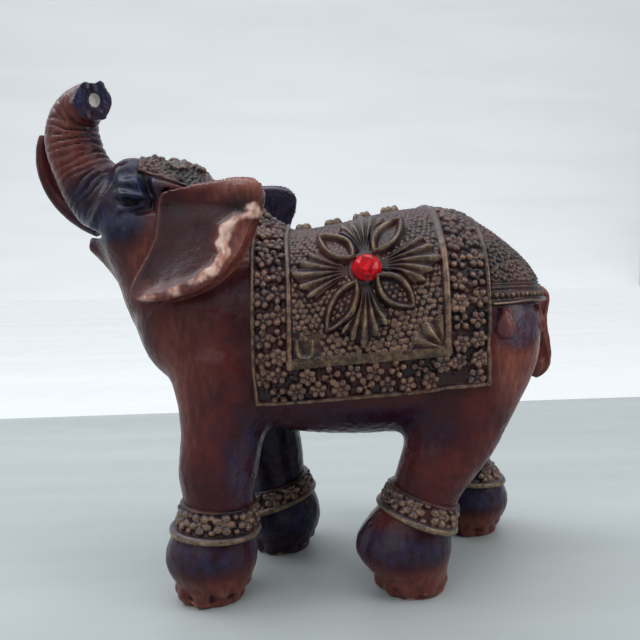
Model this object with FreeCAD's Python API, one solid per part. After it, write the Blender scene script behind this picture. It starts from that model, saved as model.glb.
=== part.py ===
import FreeCAD, Part
import math
import os

# A small standing elephant figurine with a raised trunk, a decorated saddle cloth, a head
# cap, anklets and one set stone on each flank.  Millimetres.
#
# Working frame: the animal faces -X, its left side is -Y, and it stands on Z = 0.  Y = 0 is
# the middle plane of the torso.  At the end everything is moved so that the origin is the
# centre of the bounding box's bottom face.

Vec = FreeCAD.Vector
AXIS_X, AXIS_Y, AXIS_Z = Vec(1, 0, 0), Vec(0, 1, 0), Vec(0, 0, 1)
LEFT, RIGHT = -1, 1
SIDES = {"left": LEFT, "right": RIGHT}

# ---- Driving dimensions -------------------------------------------------------------------

TORSO_POWER = 2.4       # 2 is an ellipse; more is a squarer flank
TORSO_CORE = 52.0       # height of the line that the dress is laid out round
# Torso: x, underside z, top z, half width
TORSO = [
    (-37.3, 52.5, 59.5, 4.5),
    (-35.2, 47.6, 62.5, 8.5),
    (-31.5, 42.3, 65.5, 12.3),
    (-27.0, 38.5, 68.5, 14.6),
    (-18.0, 33.0, 70.5, 17.0),
    (-8.0, 30.5, 69.3, 18.3),
    (3.0, 29.3, 70.3, 19.0),
    (14.0, 29.3, 72.6, 19.5),
    (23.0, 30.3, 73.3, 19.2),
    (32.0, 34.0, 69.9, 17.0),
    (39.0, 40.0, 64.6, 12.8),
    (43.5, 46.0, 58.6, 7.6),
    (45.3, 50.0, 55.0, 3.3),
]

# Neck and head along a rising axis: x, z, half height across the axis, half width
HEAD_AXIS = Vec(-0.84, 0, 0.543)
HEAD = [
    (-13.0, 54.0, 15.5, 12.0),
    (-20.0, 60.0, 15.5, 12.6),
    (-26.5, 65.6, 15.8, 12.6),
    (-32.0, 71.2, 13.5, 12.0),
    (-36.5, 75.0, 10.5, 10.6),
    (-40.0, 77.2, 8.1, 8.8),
]

# Lower jaw: x, z, radius, from the throat to the lip
JAW = [(-31.0, 61.0, 6.5), (-37.0, 65.0, 5.0), (-42.0, 67.2, 2.9), (-45.6, 68.2, 0.9)]

# Trunk: x, y, z, radius, from the brow to the tip, which turns towards the left side
TRUNK = [
    (-38.0, 0.0, 76.0, 8.2),
    (-42.2, 0.0, 77.8, 7.2),
    (-45.3, 0.0, 81.2, 6.0),
    (-47.3, 0.0, 85.4, 5.4),
    (-48.1, 0.0, 89.5, 5.2),
    (-47.5, -0.3, 92.7, 4.7),
    (-45.8, -1.6, 94.7, 4.1),
    (-43.6, -4.0, 95.3, 3.6),
    (-42.3, -6.4, 95.0, 3.3),
]
NOSTRIL_RADIUS = 1.3
NOSTRIL_DEPTH = 4.0

# Tusk on the right of the mouth: x, y, z, radius
TUSK = [
    (-44.6, 5.2, 72.0, 2.1),
    (-50.3, 6.6, 75.3, 2.0),
    (-54.0, 6.9, 79.5, 1.8),
    (-55.8, 6.6, 84.6, 1.6),
    (-55.7, 6.1, 89.2, 1.3),
    (-55.4, 5.9, 91.0, 0.9),
]

# Tail, lying down the rump with a tuft at the end: x, z, radius
TAIL = [
    (43.6, 57.6, 1.8),
    (46.3, 54.6, 2.1),
    (46.5, 50.5, 1.3),
    (46.9, 46.0, 1.6),
    (46.2, 42.2, 2.3),
    (44.6, 39.2, 1.2),
]

# Legs: z, x, radius along x, radius along y.  The y of each leg's axis comes from LEG_Y.
FRONT_LEFT = [
    (0.0, -22.4, 5.8, 5.8),
    (2.2, -22.4, 6.3, 6.2),
    (4.6, -22.5, 7.8, 7.6),
    (8.8, -22.6, 8.8, 8.5),
    (12.6, -22.0, 7.9, 7.6),
    (16.0, -21.2, 6.8, 6.6),
    (22.0, -20.9, 7.2, 7.0),
    (29.0, -20.2, 7.8, 7.3),
    (36.0, -19.7, 8.3, 7.4),
    (44.0, -19.4, 8.2, 7.0),
    (52.0, -18.8, 6.6, 5.4),
]
FRONT_RIGHT = [
    (0.0, -8.6, 6.0, 6.0),
    (2.2, -8.6, 6.5, 6.4),
    (4.6, -8.6, 7.9, 7.7),
    (8.6, -8.8, 8.7, 8.4),
    (12.4, -9.0, 7.7, 7.5),
    (15.8, -9.6, 6.7, 6.6),
    (22.0, -11.0, 7.2, 7.0),
    (29.0, -12.9, 7.8, 7.3),
    (36.0, -15.2, 8.3, 7.4),
    (44.0, -17.4, 8.2, 7.0),
    (52.0, -18.8, 6.6, 5.4),
]
HIND_LEFT = [
    (0.0, 16.6, 5.7, 5.7),
    (2.2, 16.4, 6.2, 6.1),
    (4.8, 15.4, 7.9, 7.7),
    (9.6, 14.8, 9.2, 8.8),
    (13.6, 16.2, 8.1, 7.8),
    (17.4, 18.4, 7.1, 6.9),
    (24.5, 22.6, 8.2, 7.5),
    (31.0, 25.8, 9.2, 7.9),
    (38.0, 28.0, 10.7, 8.1),
    (46.0, 30.0, 11.5, 7.8),
    (54.0, 30.6, 9.4, 6.2),
]
HIND_RIGHT = [
    (0.0, 36.0, 6.2, 6.2),
    (2.2, 36.0, 6.7, 6.6),
    (4.6, 35.8, 8.1, 7.9),
    (8.8, 35.6, 8.9, 8.6),
    (12.6, 34.8, 7.7, 7.5),
    (15.6, 33.8, 6.7, 6.6),
    (22.0, 32.8, 7.8, 7.5),
    (30.0, 31.6, 9.6, 7.9),
    (38.0, 31.0, 11.2, 8.2),
    (46.0, 30.6, 11.8, 7.8),
    (54.0, 30.8, 9.6, 6.2),
]
LEG_TOP_Y = 9.4         # leg axes at the hip and shoulder stand this far from the middle plane
# Each leg: its sections, the y of its foot, the anklet's middle height and its tilt in degrees
LEGS = {
    "front_left": (FRONT_LEFT, -10.4, 15.5, 2.0),
    "front_right": (FRONT_RIGHT, 12.6, 13.2, -18.0),
    "hind_left": (HIND_LEFT, -11.4, 16.4, 20.0),
    "hind_right": (HIND_RIGHT, 17.6, 14.8, 6.0),
}
HEAD_SQUARENESS = 2.2             # power of the head's oval sections; 2 is an ellipse

ANKLET_WIDTH = 5.6
ANKLET_THICKNESS = 0.6
ANKLET_REACH = 20.0               # half the slab that cuts the band out of a wider leg

TOE_COUNT = 5
TOE_RADIUS = 1.7
TOE_SPREAD = math.radians(34)     # angle between neighbouring toes
TOE_HEIGHT = 2.0                  # of the toe's middle above the ground
TOE_RING = 5.2                    # from the foot's axis to the toe's middle

# Ear outline on its own plane: distance behind the hinge line, height above the ground
EAR = [
    (0.5, 76.6), (5.0, 77.4), (10.0, 77.8), (15.2, 77.8), (18.8, 76.2), (18.6, 72.4),
    (17.3, 68.0), (15.0, 63.4), (11.2, 59.6), (6.2, 57.2), (0.4, 56.1), (-3.5, 56.9),
    (-3.4, 60.6), (-1.6, 66.0), (-0.8, 72.0),
]
EAR_THICKNESS = 2.8
EAR_CLEARANCE = 0.2               # between an ear and the flowers under it
EAR_DISH_RADIUS = 48.0
EAR_DISH_MIDDLE = (7.0, 68.0)     # the dish's lowest point: behind the hinge line, and height
EAR_BLANK_INSIDE, EAR_BLANK_DEPTH = 6.0, 14.0    # the block that the dish is cut from
# Each ear: hinge x, hinge distance from the middle plane, flare in degrees, extra height
EARS = {"left": (-28.0, 11.0, 21.0, 0.0), "right": (-21.6, 11.0, 16.0, 2.8)}
EAR_LEAN = 16.0                   # degrees that the lower edge stands further out
EAR_LEAN_PIVOT = 77.0             # height that the lean turns about

# Saddle cloth, lying on the torso: its edges and the two frames of piping on it
CLOTH_FRONT, CLOTH_REAR = -13.8, 29.7
CLOTH_LOW_FRONT, CLOTH_LOW_REAR = 38.2, 40.8      # height of the lower edge at each end
CLOTH_THICKNESS = 0.9
PIPING_HEIGHT = 0.8               # above the cloth
OUTER_PIPING_WIDTH = 1.0
BORDER_FRONT, BORDER_REAR, BORDER_LOW = 6.4, 7.6, 6.6   # from the cloth's edge to the field
INNER_PIPING_WIDTH = 1.3
FIELD_HEIGHT = 0.35               # beaded field above the cloth
FLOWER_RADIUS = 1.9
FLOWER_HEIGHT = 1.1
FLOWER_PITCH = 4.9
FLOWER_CROWDING = 0.85            # least spacing, as a share of the pitch
STUD_RADIUS = 1.1
SPINE_STUDS = (-3.0, 3.0, 9.0, 15.0)

# Rosette and stone on each flank
STONE_X, STONE_Z = 7.2, 62.6
STONE_TILT = math.radians(27)     # the stone faces outwards and this much upwards
STONE_RADIUS = 2.7
STONE_TABLE_RADIUS = 1.55
STONE_CROWN = 1.3
STONE_FACETS = 12
STONE_SEAT_DEPTH = 0.7
STONE_CLEARANCE = 0.05
ROSETTE_RADIUS, ROSETTE_WAVE, ROSETTE_LOBES = 10.8, 1.8, 8
ROSETTE_BLOCK = 8.0               # how far each way the rosette's outline is carried
HUB_RADIUS, HUB_HEIGHT = 3.7, 1.3
HUB_ROOT = 2.0                    # how far the hub reaches in below the cloth's top

# Leaf in each lower corner of the field: how far in from the piping's outer edges, then its
# (x, z) outline measured from there; the rear leaf's x runs forwards
LEAF_INSET = 1.6
LEAF_RISE = 2.2
FRONT_LEAF = [(0.0, 0.0), (4.6, 0.0), (4.6, 3.2), (0.0, 5.2)]
REAR_LEAF = [(0.0, 2.6), (0.0, 8.4), (2.0, 7.6), (4.4, 2.4)]
LEAF_LEAST = 1.0                  # volume under which a piece of a leaf is dropped

# Cloth over the rump behind the saddle, with a hem and tassels
RUMP_FRONT = CLOTH_REAR + 0.3
RUMP_LOW = 55.2
HEM_WIDTH, HEM_HEIGHT = 3.4, 0.5
TASSEL_TOP = RUMP_LOW - 0.2
TASSEL_LENGTH, TASSEL_RADIUS = 6.0, 1.8
TASSEL_TAPER = ((0.0, 0.9), (0.35, 1.4), (0.75, TASSEL_RADIUS), (1.0, 0.7))  # share, radius
TASSEL_PLACES = ((33.0, 17.0), (41.6, 9.6))       # x, distance from the middle plane

# Beaded cap on the head
CAP_THICKNESS = 1.1
CAP_FRONT, CAP_REAR = -34.2, -21.2
CAP_LOW_FRONT, CAP_LOW_REAR = 81.4, 76.8          # height of the lower edge at each end
ORNAMENT_X = -27.5
ORNAMENT_RADIUS, ORNAMENT_HEIGHT = 3.2, 1.1

# Eyes
EYE_X, EYE_Z, EYE_RADIUS, EYE_SUNK = -35.0, 75.8, 1.5, 0.8

FAR = 80.0              # reaches past the figurine's flanks, for cutting tools
SKY = 90.0              # a height above everything that is cut from above
LOFT_DEGREE = 3
CRUMB = 0.4             # volume of a stray sliver that a cut may leave


# ---- Helpers ------------------------------------------------------------------------------

def oval(centre, across, up, half_across, half_up, power=2.0, points=16):
    """A closed smooth wire: an ellipse, or a squarer oval where power is over 2."""
    places = []
    for i in range(points):
        angle = 2 * math.pi * i / points
        c, s = math.cos(angle), math.sin(angle)
        a = math.copysign(abs(c) ** (2 / power), c) * half_across
        b = math.copysign(abs(s) ** (2 / power), s) * half_up
        places.append(centre + across * a + up * b)
    curve = Part.BSplineCurve()
    curve.interpolate(Points=places, PeriodicFlag=True)
    return Part.Wire(curve.toShape())


def loft(wires):
    """A smooth solid through the wires; a low degree keeps it from swinging between them."""
    return Part.makeLoft(wires, True, False, False, LOFT_DEGREE)


def smooth_outline(points):
    curve = Part.BSplineCurve()
    curve.interpolate(Points=points, PeriodicFlag=True)
    return Part.Face(Part.Wire(curve.toShape()))


def horn(path):
    """A round tapering solid through (point, radius) pairs, each section square to the path."""
    wires = []
    across = AXIS_Y
    for i, (point, radius) in enumerate(path):
        before, after = path[max(i - 1, 0)][0], path[min(i + 1, len(path) - 1)][0]
        along = (after - before).normalize()
        across = (across - along * across.dot(along)).normalize()
        wires.append(oval(point, across, along.cross(across), radius, radius))
    return loft(wires)


def dome(centre, out, radius):
    """A ball whose poles lie along `out`, so that its seam stays clear of the rim of a cut."""
    return Part.makeSphere(radius, centre, out)


def biggest(shape):
    """The largest solid of a shape, for a cut that leaves crumbs behind."""
    return max(shape.Solids, key=lambda s: s.Volume)


def without_crumbs(shape):
    """A shape that other parts divide, as one compound of its solids."""
    return Part.makeCompound([solid for solid in shape.Solids if solid.Volume > CRUMB])


def cut_all(shape, others):
    for other in others:
        shape = shape.cut(other)
    return shape


def side_prism(outline):
    """A solid through the whole figurine, with this (x, z) outline."""
    corners = [Vec(x, -FAR / 2, z) for x, z in outline]
    return Part.Face(Part.makePolygon(corners + corners[:1])).extrude(AXIS_Y * FAR)


def cloth_outline(inset_front, inset_rear, inset_low):
    """The saddle cloth's side outline, drawn in by these distances; it is open above."""
    slope = (CLOTH_LOW_REAR - CLOTH_LOW_FRONT) / (CLOTH_REAR - CLOTH_FRONT)
    x0, x1 = CLOTH_FRONT + inset_front, CLOTH_REAR - inset_rear
    low = CLOTH_LOW_FRONT + inset_low
    return [
        (x0, low + slope * (x0 - CLOTH_FRONT)),
        (x1, low + slope * (x1 - CLOTH_FRONT)),
        (x1, SKY),
        (x0, SKY),
    ]


# ---- Body ---------------------------------------------------------------------------------

def make_torso(grow=0.0):
    wires = []
    for i, (x, low, high, half_width) in enumerate(TORSO):
        x += {0: -grow, len(TORSO) - 1: grow}.get(i, 0.0)
        centre = Vec(x, 0, (low + high) / 2)
        half_height = (high - low) / 2 + grow
        wires.append(oval(centre, AXIS_Y, AXIS_Z, half_width + grow, half_height, TORSO_POWER))
    return loft(wires)


def make_head(grow=0.0):
    across = AXIS_Y
    up = HEAD_AXIS.cross(across).normalize()
    if up.z < 0:
        up = up * -1
    wires = []
    for i, (x, z, half_height, half_width) in enumerate(HEAD):
        centre = Vec(x, 0, z) + HEAD_AXIS * (grow if i == len(HEAD) - 1 else 0.0)
        wires.append(oval(centre, across, up, half_width + grow, half_height + grow, HEAD_SQUARENESS))
    return loft(wires)


def make_leg(sections, foot_y, grow=0.0):
    top_y = math.copysign(LEG_TOP_Y, foot_y)
    top_z = sections[-1][0]
    wires = []
    for z, x, radius_x, radius_y in sections:
        share = z / top_z
        centre = Vec(x, foot_y + (top_y - foot_y) * share, z)
        wires.append(oval(centre, AXIS_X, AXIS_Y, radius_x + grow, radius_y + grow))
    return loft(wires)


def leg_axis(sections, foot_y, z):
    """The point of a leg's axis at height z."""
    top_y = math.copysign(LEG_TOP_Y, foot_y)
    for (z0, x0, *_), (z1, x1, *_) in zip(sections, sections[1:]):
        if z0 <= z <= z1:
            x = x0 + (x1 - x0) * (z - z0) / (z1 - z0)
            return Vec(x, foot_y + (top_y - foot_y) * z / sections[-1][0], z)


def make_anklet(sections, foot_y, height, tilt, leg):
    """A band round the leg, square to the leg's slope."""
    middle = leg_axis(sections, foot_y, height)
    corner = Vec(-ANKLET_REACH, -ANKLET_REACH, -ANKLET_WIDTH / 2)
    slab = Part.makeBox(2 * ANKLET_REACH, 2 * ANKLET_REACH, ANKLET_WIDTH, corner)
    slab.rotate(Vec(0, 0, 0), AXIS_Y, tilt)
    slab.translate(middle)
    sleeve = make_leg(sections, foot_y, ANKLET_THICKNESS)
    return biggest(sleeve.common(slab).cut(leg))


def make_toes(sections, foot_y, leg):
    """Nails round the front of the foot."""
    axis = leg_axis(sections, foot_y, TOE_HEIGHT)
    nails = []
    for i in range(TOE_COUNT):
        angle = math.pi + (i - (TOE_COUNT - 1) / 2) * TOE_SPREAD
        out = Vec(math.cos(angle), math.sin(angle), 0)
        nails.append(dome(axis + out * TOE_RING, out, TOE_RADIUS).cut(leg))
    return Part.makeCompound([biggest(nail) for nail in nails])


def make_trunk(head):
    path = [(Vec(x, y, z), radius) for x, y, z, radius in TRUNK]
    tip, before = path[-1][0], path[-2][0]
    inwards = (before - tip).normalize()
    nostril = Part.makeCylinder(NOSTRIL_RADIUS, NOSTRIL_DEPTH + 1, tip - inwards, inwards)
    return biggest(horn(path).cut(nostril).cut(head))


def make_ear(side, hinge_x, hinge_y, flare, lift, neighbours):
    """A dished plate on a plane that leaves the head at the flare angle."""
    turn = math.radians(flare)
    hinge = Vec(hinge_x, SIDES[side] * hinge_y, 0)
    along = Vec(math.cos(turn), SIDES[side] * math.sin(turn), 0)
    outwards = Vec(-math.sin(turn), SIDES[side] * math.cos(turn), 0)
    outline = [hinge + along * a + AXIS_Z * (z + lift) for a, z in EAR]
    inside = [point - outwards * EAR_BLANK_INSIDE for point in outline]
    blank = smooth_outline(inside).extrude(outwards * EAR_BLANK_DEPTH)
    dish_along, dish_height = EAR_DISH_MIDDLE
    dish = hinge + along * dish_along + AXIS_Z * (dish_height + lift) + outwards * EAR_DISH_RADIUS
    plate = Part.makeSphere(EAR_DISH_RADIUS + EAR_THICKNESS / 2, dish)
    plate = plate.cut(Part.makeSphere(EAR_DISH_RADIUS - EAR_THICKNESS / 2, dish))
    ear = blank.common(plate)
    ear.rotate(hinge + AXIS_Z * (EAR_LEAN_PIVOT + lift), along, SIDES[side] * EAR_LEAN)
    return biggest(cut_all(ear, neighbours))


# ---- Dress --------------------------------------------------------------------------------

def on_flank(solid, side, x, z):
    """Where the line through (x, z) across the animal leaves the solid on this side."""
    line = Part.makeLine(Vec(x, 0, z), Vec(x, SIDES[side] * FAR, z)).common(solid)
    return max((v.Point for v in line.Vertexes), key=lambda p: abs(p.y))


def frame_prism(outer_insets, width):
    """A U-shaped frame of this width inside the cloth's outline."""
    inner_insets = [inset + width for inset in outer_insets]
    return side_prism(cloth_outline(*outer_insets)).cut(side_prism(cloth_outline(*inner_insets)))


def round_the_back(solid, x, angle):
    """The solid's surface at x, at an angle from straight up, measured about the torso's core."""
    core = Vec(x, 0, TORSO_CORE)
    out = Vec(0, math.sin(angle), math.cos(angle))
    line = Part.makeLine(core, core + out * FAR).common(solid)
    return max((v.Point for v in line.Vertexes), key=lambda p: (p - core).Length)


def walk_down(solid, x, side, lowest):
    """Places one flower pitch apart, from near the spine down one flank at this x."""
    places = []
    angle, step = 0.0, math.radians(1.5)
    point = round_the_back(solid, x, 0.0)
    walked = FLOWER_PITCH / 2
    while point.z > lowest:
        angle += step
        following = round_the_back(solid, x, SIDES[side] * angle)
        walked += (following - point).Length
        point = following
        if walked >= FLOWER_PITCH and point.z > lowest:
            places.append(point)
            walked = 0.0
    return places


def make_flowers(side, cloth_top, clearance):
    """Low domes on the border of the cloth: down the front, down the rear and along the foot."""
    front = CLOTH_FRONT + (OUTER_PIPING_WIDTH + BORDER_FRONT) / 2
    rear = CLOTH_REAR - (OUTER_PIPING_WIDTH + BORDER_REAR) / 2
    slope = (CLOTH_LOW_REAR - CLOTH_LOW_FRONT) / (CLOTH_REAR - CLOTH_FRONT)
    middle_low = CLOTH_LOW_FRONT + (OUTER_PIPING_WIDTH + BORDER_LOW) / 2
    places = walk_down(cloth_top, front, side, middle_low + FLOWER_RADIUS)
    places += walk_down(cloth_top, rear, side, middle_low + FLOWER_RADIUS)
    count = round((rear - front) / FLOWER_PITCH)
    for i in range(count + 1):
        x = front + (rear - front) * i / count
        z = middle_low + slope * (x - CLOTH_FRONT)
        places.append(on_flank(cloth_top, side, x, z))
    ball = (FLOWER_RADIUS**2 + FLOWER_HEIGHT**2) / (2 * FLOWER_HEIGHT)
    kept = []
    for place in places:
        crowded = any((place - other).Length < FLOWER_PITCH * FLOWER_CROWDING for other, _ in kept)
        hidden = any(solid.isInside(place, FLOWER_RADIUS / 2, True) for solid in clearance)
        if not crowded and not hidden:
            out = (place - Vec(place.x, 0, TORSO_CORE)).normalize()
            flower = dome(place - out * (ball - FLOWER_HEIGHT), out, ball).cut(cloth_top)
            kept.append((place, biggest(cut_all(flower, clearance))))
    return Part.makeCompound([flower for _, flower in kept])


def stone_place(side, cloth_top):
    """The middle of the stone's seat on the cloth, and the way the stone faces."""
    faces = Vec(0, SIDES[side] * math.cos(STONE_TILT), math.sin(STONE_TILT))
    return on_flank(cloth_top, side, STONE_X, STONE_Z), faces


def make_rosette(side, cloth_top, relief):
    """A carved flower of fans and petals that follows the flank, with a raised hub."""
    seat, faces = stone_place(side, cloth_top)
    down = AXIS_X.cross(faces).normalize()
    rim = []
    for i in range(4 * ROSETTE_LOBES):
        angle = 2 * math.pi * i / (4 * ROSETTE_LOBES)
        reach = ROSETTE_RADIUS + ROSETTE_WAVE * math.cos(ROSETTE_LOBES * angle)
        out = AXIS_X * math.cos(angle) + down * math.sin(angle)
        rim.append(seat - faces * ROSETTE_BLOCK + out * reach)
    leaf = biggest(smooth_outline(rim).extrude(faces * 2 * ROSETTE_BLOCK).common(relief))
    root = seat - faces * HUB_ROOT
    hub = Part.makeCylinder(HUB_RADIUS, HUB_HEIGHT + HUB_ROOT, root, faces).cut(cloth_top)
    pocket = Part.makeCylinder(
        STONE_RADIUS + STONE_CLEARANCE, FAR, seat + faces * (HUB_HEIGHT - STONE_SEAT_DEPTH), faces
    )
    return biggest(leaf.fuse(hub).cut(pocket))


def make_stone(side, cloth_top):
    """A faceted stone: a short girdle, a bevelled crown and a flat table."""
    seat, faces = stone_place(side, cloth_top)
    down = AXIS_X.cross(faces).normalize()

    def ring(radius, height):
        corners = []
        for i in range(STONE_FACETS + 1):
            angle = 2 * math.pi * (i % STONE_FACETS) / STONE_FACETS
            out = AXIS_X * math.cos(angle) + down * math.sin(angle)
            corners.append(seat + out * radius + faces * height)
        return Part.makePolygon(corners)

    foot = HUB_HEIGHT - STONE_SEAT_DEPTH
    girdle = HUB_HEIGHT
    crown = girdle + STONE_CROWN
    body = Part.makeLoft([ring(STONE_RADIUS, foot), ring(STONE_RADIUS, girdle)], True, True)
    top = Part.makeLoft([ring(STONE_RADIUS, girdle), ring(STONE_TABLE_RADIUS, crown)], True, True)
    return body.fuse(top).removeSplitter()


def make_corner_leaves(relief):
    """Four small leaves, one in each lower corner of the two fields."""
    low = CLOTH_LOW_FRONT + BORDER_LOW + LEAF_RISE
    front = CLOTH_FRONT + BORDER_FRONT + LEAF_INSET
    rear = CLOTH_REAR - BORDER_REAR - LEAF_INSET
    outlines = [
        [(front + x, low + z) for x, z in FRONT_LEAF],
        [(rear - x, low + z) for x, z in REAR_LEAF],
    ]
    leaves = []
    for outline in outlines:
        leaves += side_prism(outline).common(relief).Solids
    return Part.makeCompound([leaf for leaf in leaves if leaf.Volume > LEAF_LEAST])


def make_tassels(neighbours):
    """Plain drops hanging from the rump cloth's hem, two on each side."""
    drops = []
    for side in SIDES.values():
        for x, y in TASSEL_PLACES:
            top = Vec(x, side * y, TASSEL_TOP)
            path = [(top - AXIS_Z * TASSEL_LENGTH * share, radius) for share, radius in TASSEL_TAPER]
            drops.append(biggest(cut_all(horn(path), neighbours)))
    return Part.makeCompound(drops)


def make_eye(side, head):
    """A ball let into the side of the head."""
    place = on_flank(head, side, EYE_X, EYE_Z)
    out = AXIS_Y * SIDES[side]
    return biggest(dome(place - out * EYE_SUNK, out, EYE_RADIUS).cut(head))


def make_ornament(cap_top):
    """A low boss on the middle of the cap."""
    line = Part.makeLine(Vec(ORNAMENT_X, 0, 0), Vec(ORNAMENT_X, 0, SKY)).common(cap_top)
    place = max((v.Point for v in line.Vertexes), key=lambda p: p.z)
    ball = (ORNAMENT_RADIUS**2 + ORNAMENT_HEIGHT**2) / (2 * ORNAMENT_HEIGHT)
    centre = place - AXIS_Z * (ball - ORNAMENT_HEIGHT)
    return biggest(dome(centre, AXIS_Z, ball).cut(cap_top))


# ---- The whole figurine -------------------------------------------------------------------

def make_bare_animal(nodes, torso, whole_head, legs):
    jaw = horn([(Vec(x, 0, z), radius) for x, z, radius in JAW])
    tusk = horn([(Vec(x, y, z), radius) for x, y, z, radius in TUSK])
    nodes["torso"] = torso
    nodes["head"] = biggest(whole_head.cut(torso))
    nodes["lower_jaw"] = biggest(jaw.cut(whole_head).cut(torso))
    nodes["trunk"] = biggest(make_trunk(whole_head).cut(jaw))
    nodes["tusk_right"] = biggest(tusk.cut(whole_head).cut(nodes["trunk"]))
    for name, (sections, y, height, tilt) in LEGS.items():
        nodes["leg_" + name] = biggest(legs[name].cut(torso).cut(whole_head))
        nodes["anklet_" + name] = make_anklet(sections, y, height, tilt, legs[name])
        nodes["toenails_" + name] = make_toes(sections, y, legs[name])
    clear_of_dress = make_torso(CLOTH_THICKNESS + FLOWER_HEIGHT + EAR_CLEARANCE)
    for side, (x, y, flare, lift) in EARS.items():
        nodes["ear_" + side] = make_ear(side, x, y, flare, lift, (whole_head, clear_of_dress))
        nodes["eye_" + side] = make_eye(side, whole_head)


def make_saddle(nodes, skin, cloth_top, relief, clearance):
    cloth = skin.common(side_prism(cloth_outline(0, 0, 0)))
    outer = frame_prism((0, 0, 0), OUTER_PIPING_WIDTH)
    border = (BORDER_FRONT, BORDER_REAR, BORDER_LOW)
    inner = frame_prism(border, INNER_PIPING_WIDTH)
    insets = [inset + INNER_PIPING_WIDTH for inset in border]
    field_top = make_torso(CLOTH_THICKNESS + FIELD_HEIGHT)
    field = field_top.cut(cloth_top).common(side_prism(cloth_outline(*insets)))
    nodes["saddle_cloth"] = biggest(cut_all(cloth, clearance))
    nodes["outer_piping"] = without_crumbs(cut_all(relief.common(outer), clearance))
    nodes["inner_piping"] = without_crumbs(cut_all(relief.common(inner), clearance))
    nodes["corner_leaves"] = make_corner_leaves(relief)
    for side in SIDES:
        nodes["rosette_" + side] = make_rosette(side, cloth_top, relief)
        nodes["stone_" + side] = make_stone(side, cloth_top)
        nodes["border_flowers_" + side] = make_flowers(side, cloth_top, clearance)
    applied = [nodes[name] for name in ("rosette_left", "rosette_right", "corner_leaves")]
    nodes["beaded_field"] = without_crumbs(cut_all(field, applied))
    studs = [Part.makeSphere(STUD_RADIUS, round_the_back(field_top, x, 0)) for x in SPINE_STUDS]
    nodes["spine_studs"] = Part.makeCompound([biggest(stud.cut(field_top)) for stud in studs])


def make_rump(nodes, skin, cloth_top, torso, legs):
    corner = Vec(RUMP_FRONT, -FAR, RUMP_LOW)
    block = Part.makeBox(FAR, 2 * FAR, FAR, corner)
    band = Part.makeBox(FAR, 2 * FAR, HEM_WIDTH, corner)
    hem_top = make_torso(CLOTH_THICKNESS + HEM_HEIGHT)
    nodes["rump_cloth"] = biggest(cut_all(skin.common(block), legs))
    nodes["rump_hem"] = biggest(hem_top.cut(cloth_top).common(band))
    covered = hem_top.common(block)
    tail = horn([(Vec(x, 0, z), radius) for x, z, radius in TAIL])
    nodes["tail"] = biggest(cut_all(tail, (torso, covered)))
    nodes["rump_tassels"] = make_tassels((covered, torso, *legs))


def make_cap(nodes, whole_head, torso):
    cap_top = make_head(CAP_THICKNESS)
    side_view = side_prism([
        (CAP_FRONT, CAP_LOW_FRONT),
        (CAP_REAR, CAP_LOW_REAR),
        (CAP_REAR, SKY),
        (CAP_FRONT, SKY),
    ])
    cap = cap_top.cut(whole_head).common(side_view)
    neighbours = [nodes[name] for name in ("ear_left", "ear_right", "trunk")]
    nodes["head_cap"] = biggest(cut_all(cap, (torso, *neighbours)))
    nodes["cap_ornament"] = make_ornament(cap_top)


def make_figurine():
    nodes = {}
    torso = make_torso()
    whole_head = make_head()
    legs = {name: make_leg(sections, y) for name, (sections, y, _, _) in LEGS.items()}
    make_bare_animal(nodes, torso, whole_head, legs)
    cloth_top = make_torso(CLOTH_THICKNESS)
    relief = make_torso(CLOTH_THICKNESS + PIPING_HEIGHT).cut(cloth_top)
    skin = cloth_top.cut(torso)
    make_saddle(nodes, skin, cloth_top, relief, (whole_head, *legs.values()))
    make_rump(nodes, skin, cloth_top, torso, (legs["hind_left"], legs["hind_right"]))
    make_cap(nodes, whole_head, torso)
    return nodes


def to_row_frame(nodes):
    """Moves every node so that the origin is the bottom centre of the whole bounding box."""
    box = Part.makeCompound(list(nodes.values())).optimalBoundingBox(False)
    shift = Vec(-(box.XMin + box.XMax) / 2, -(box.YMin + box.YMax) / 2, -box.ZMin)
    for shape in nodes.values():
        shape.translate(shift)
    return shift


def main():
    nodes = make_figurine()
    shift = to_row_frame(nodes)
    os.makedirs("parts", exist_ok=True)
    for name, shape in nodes.items():
        shape.exportStep(os.path.join("parts", name + ".step"))
        print(name, len(shape.Solids), shape.isValid(), round(shape.Volume, 1))
    print("moved by", tuple(round(c, 4) for c in shift))


main()
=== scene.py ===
import math

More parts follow.
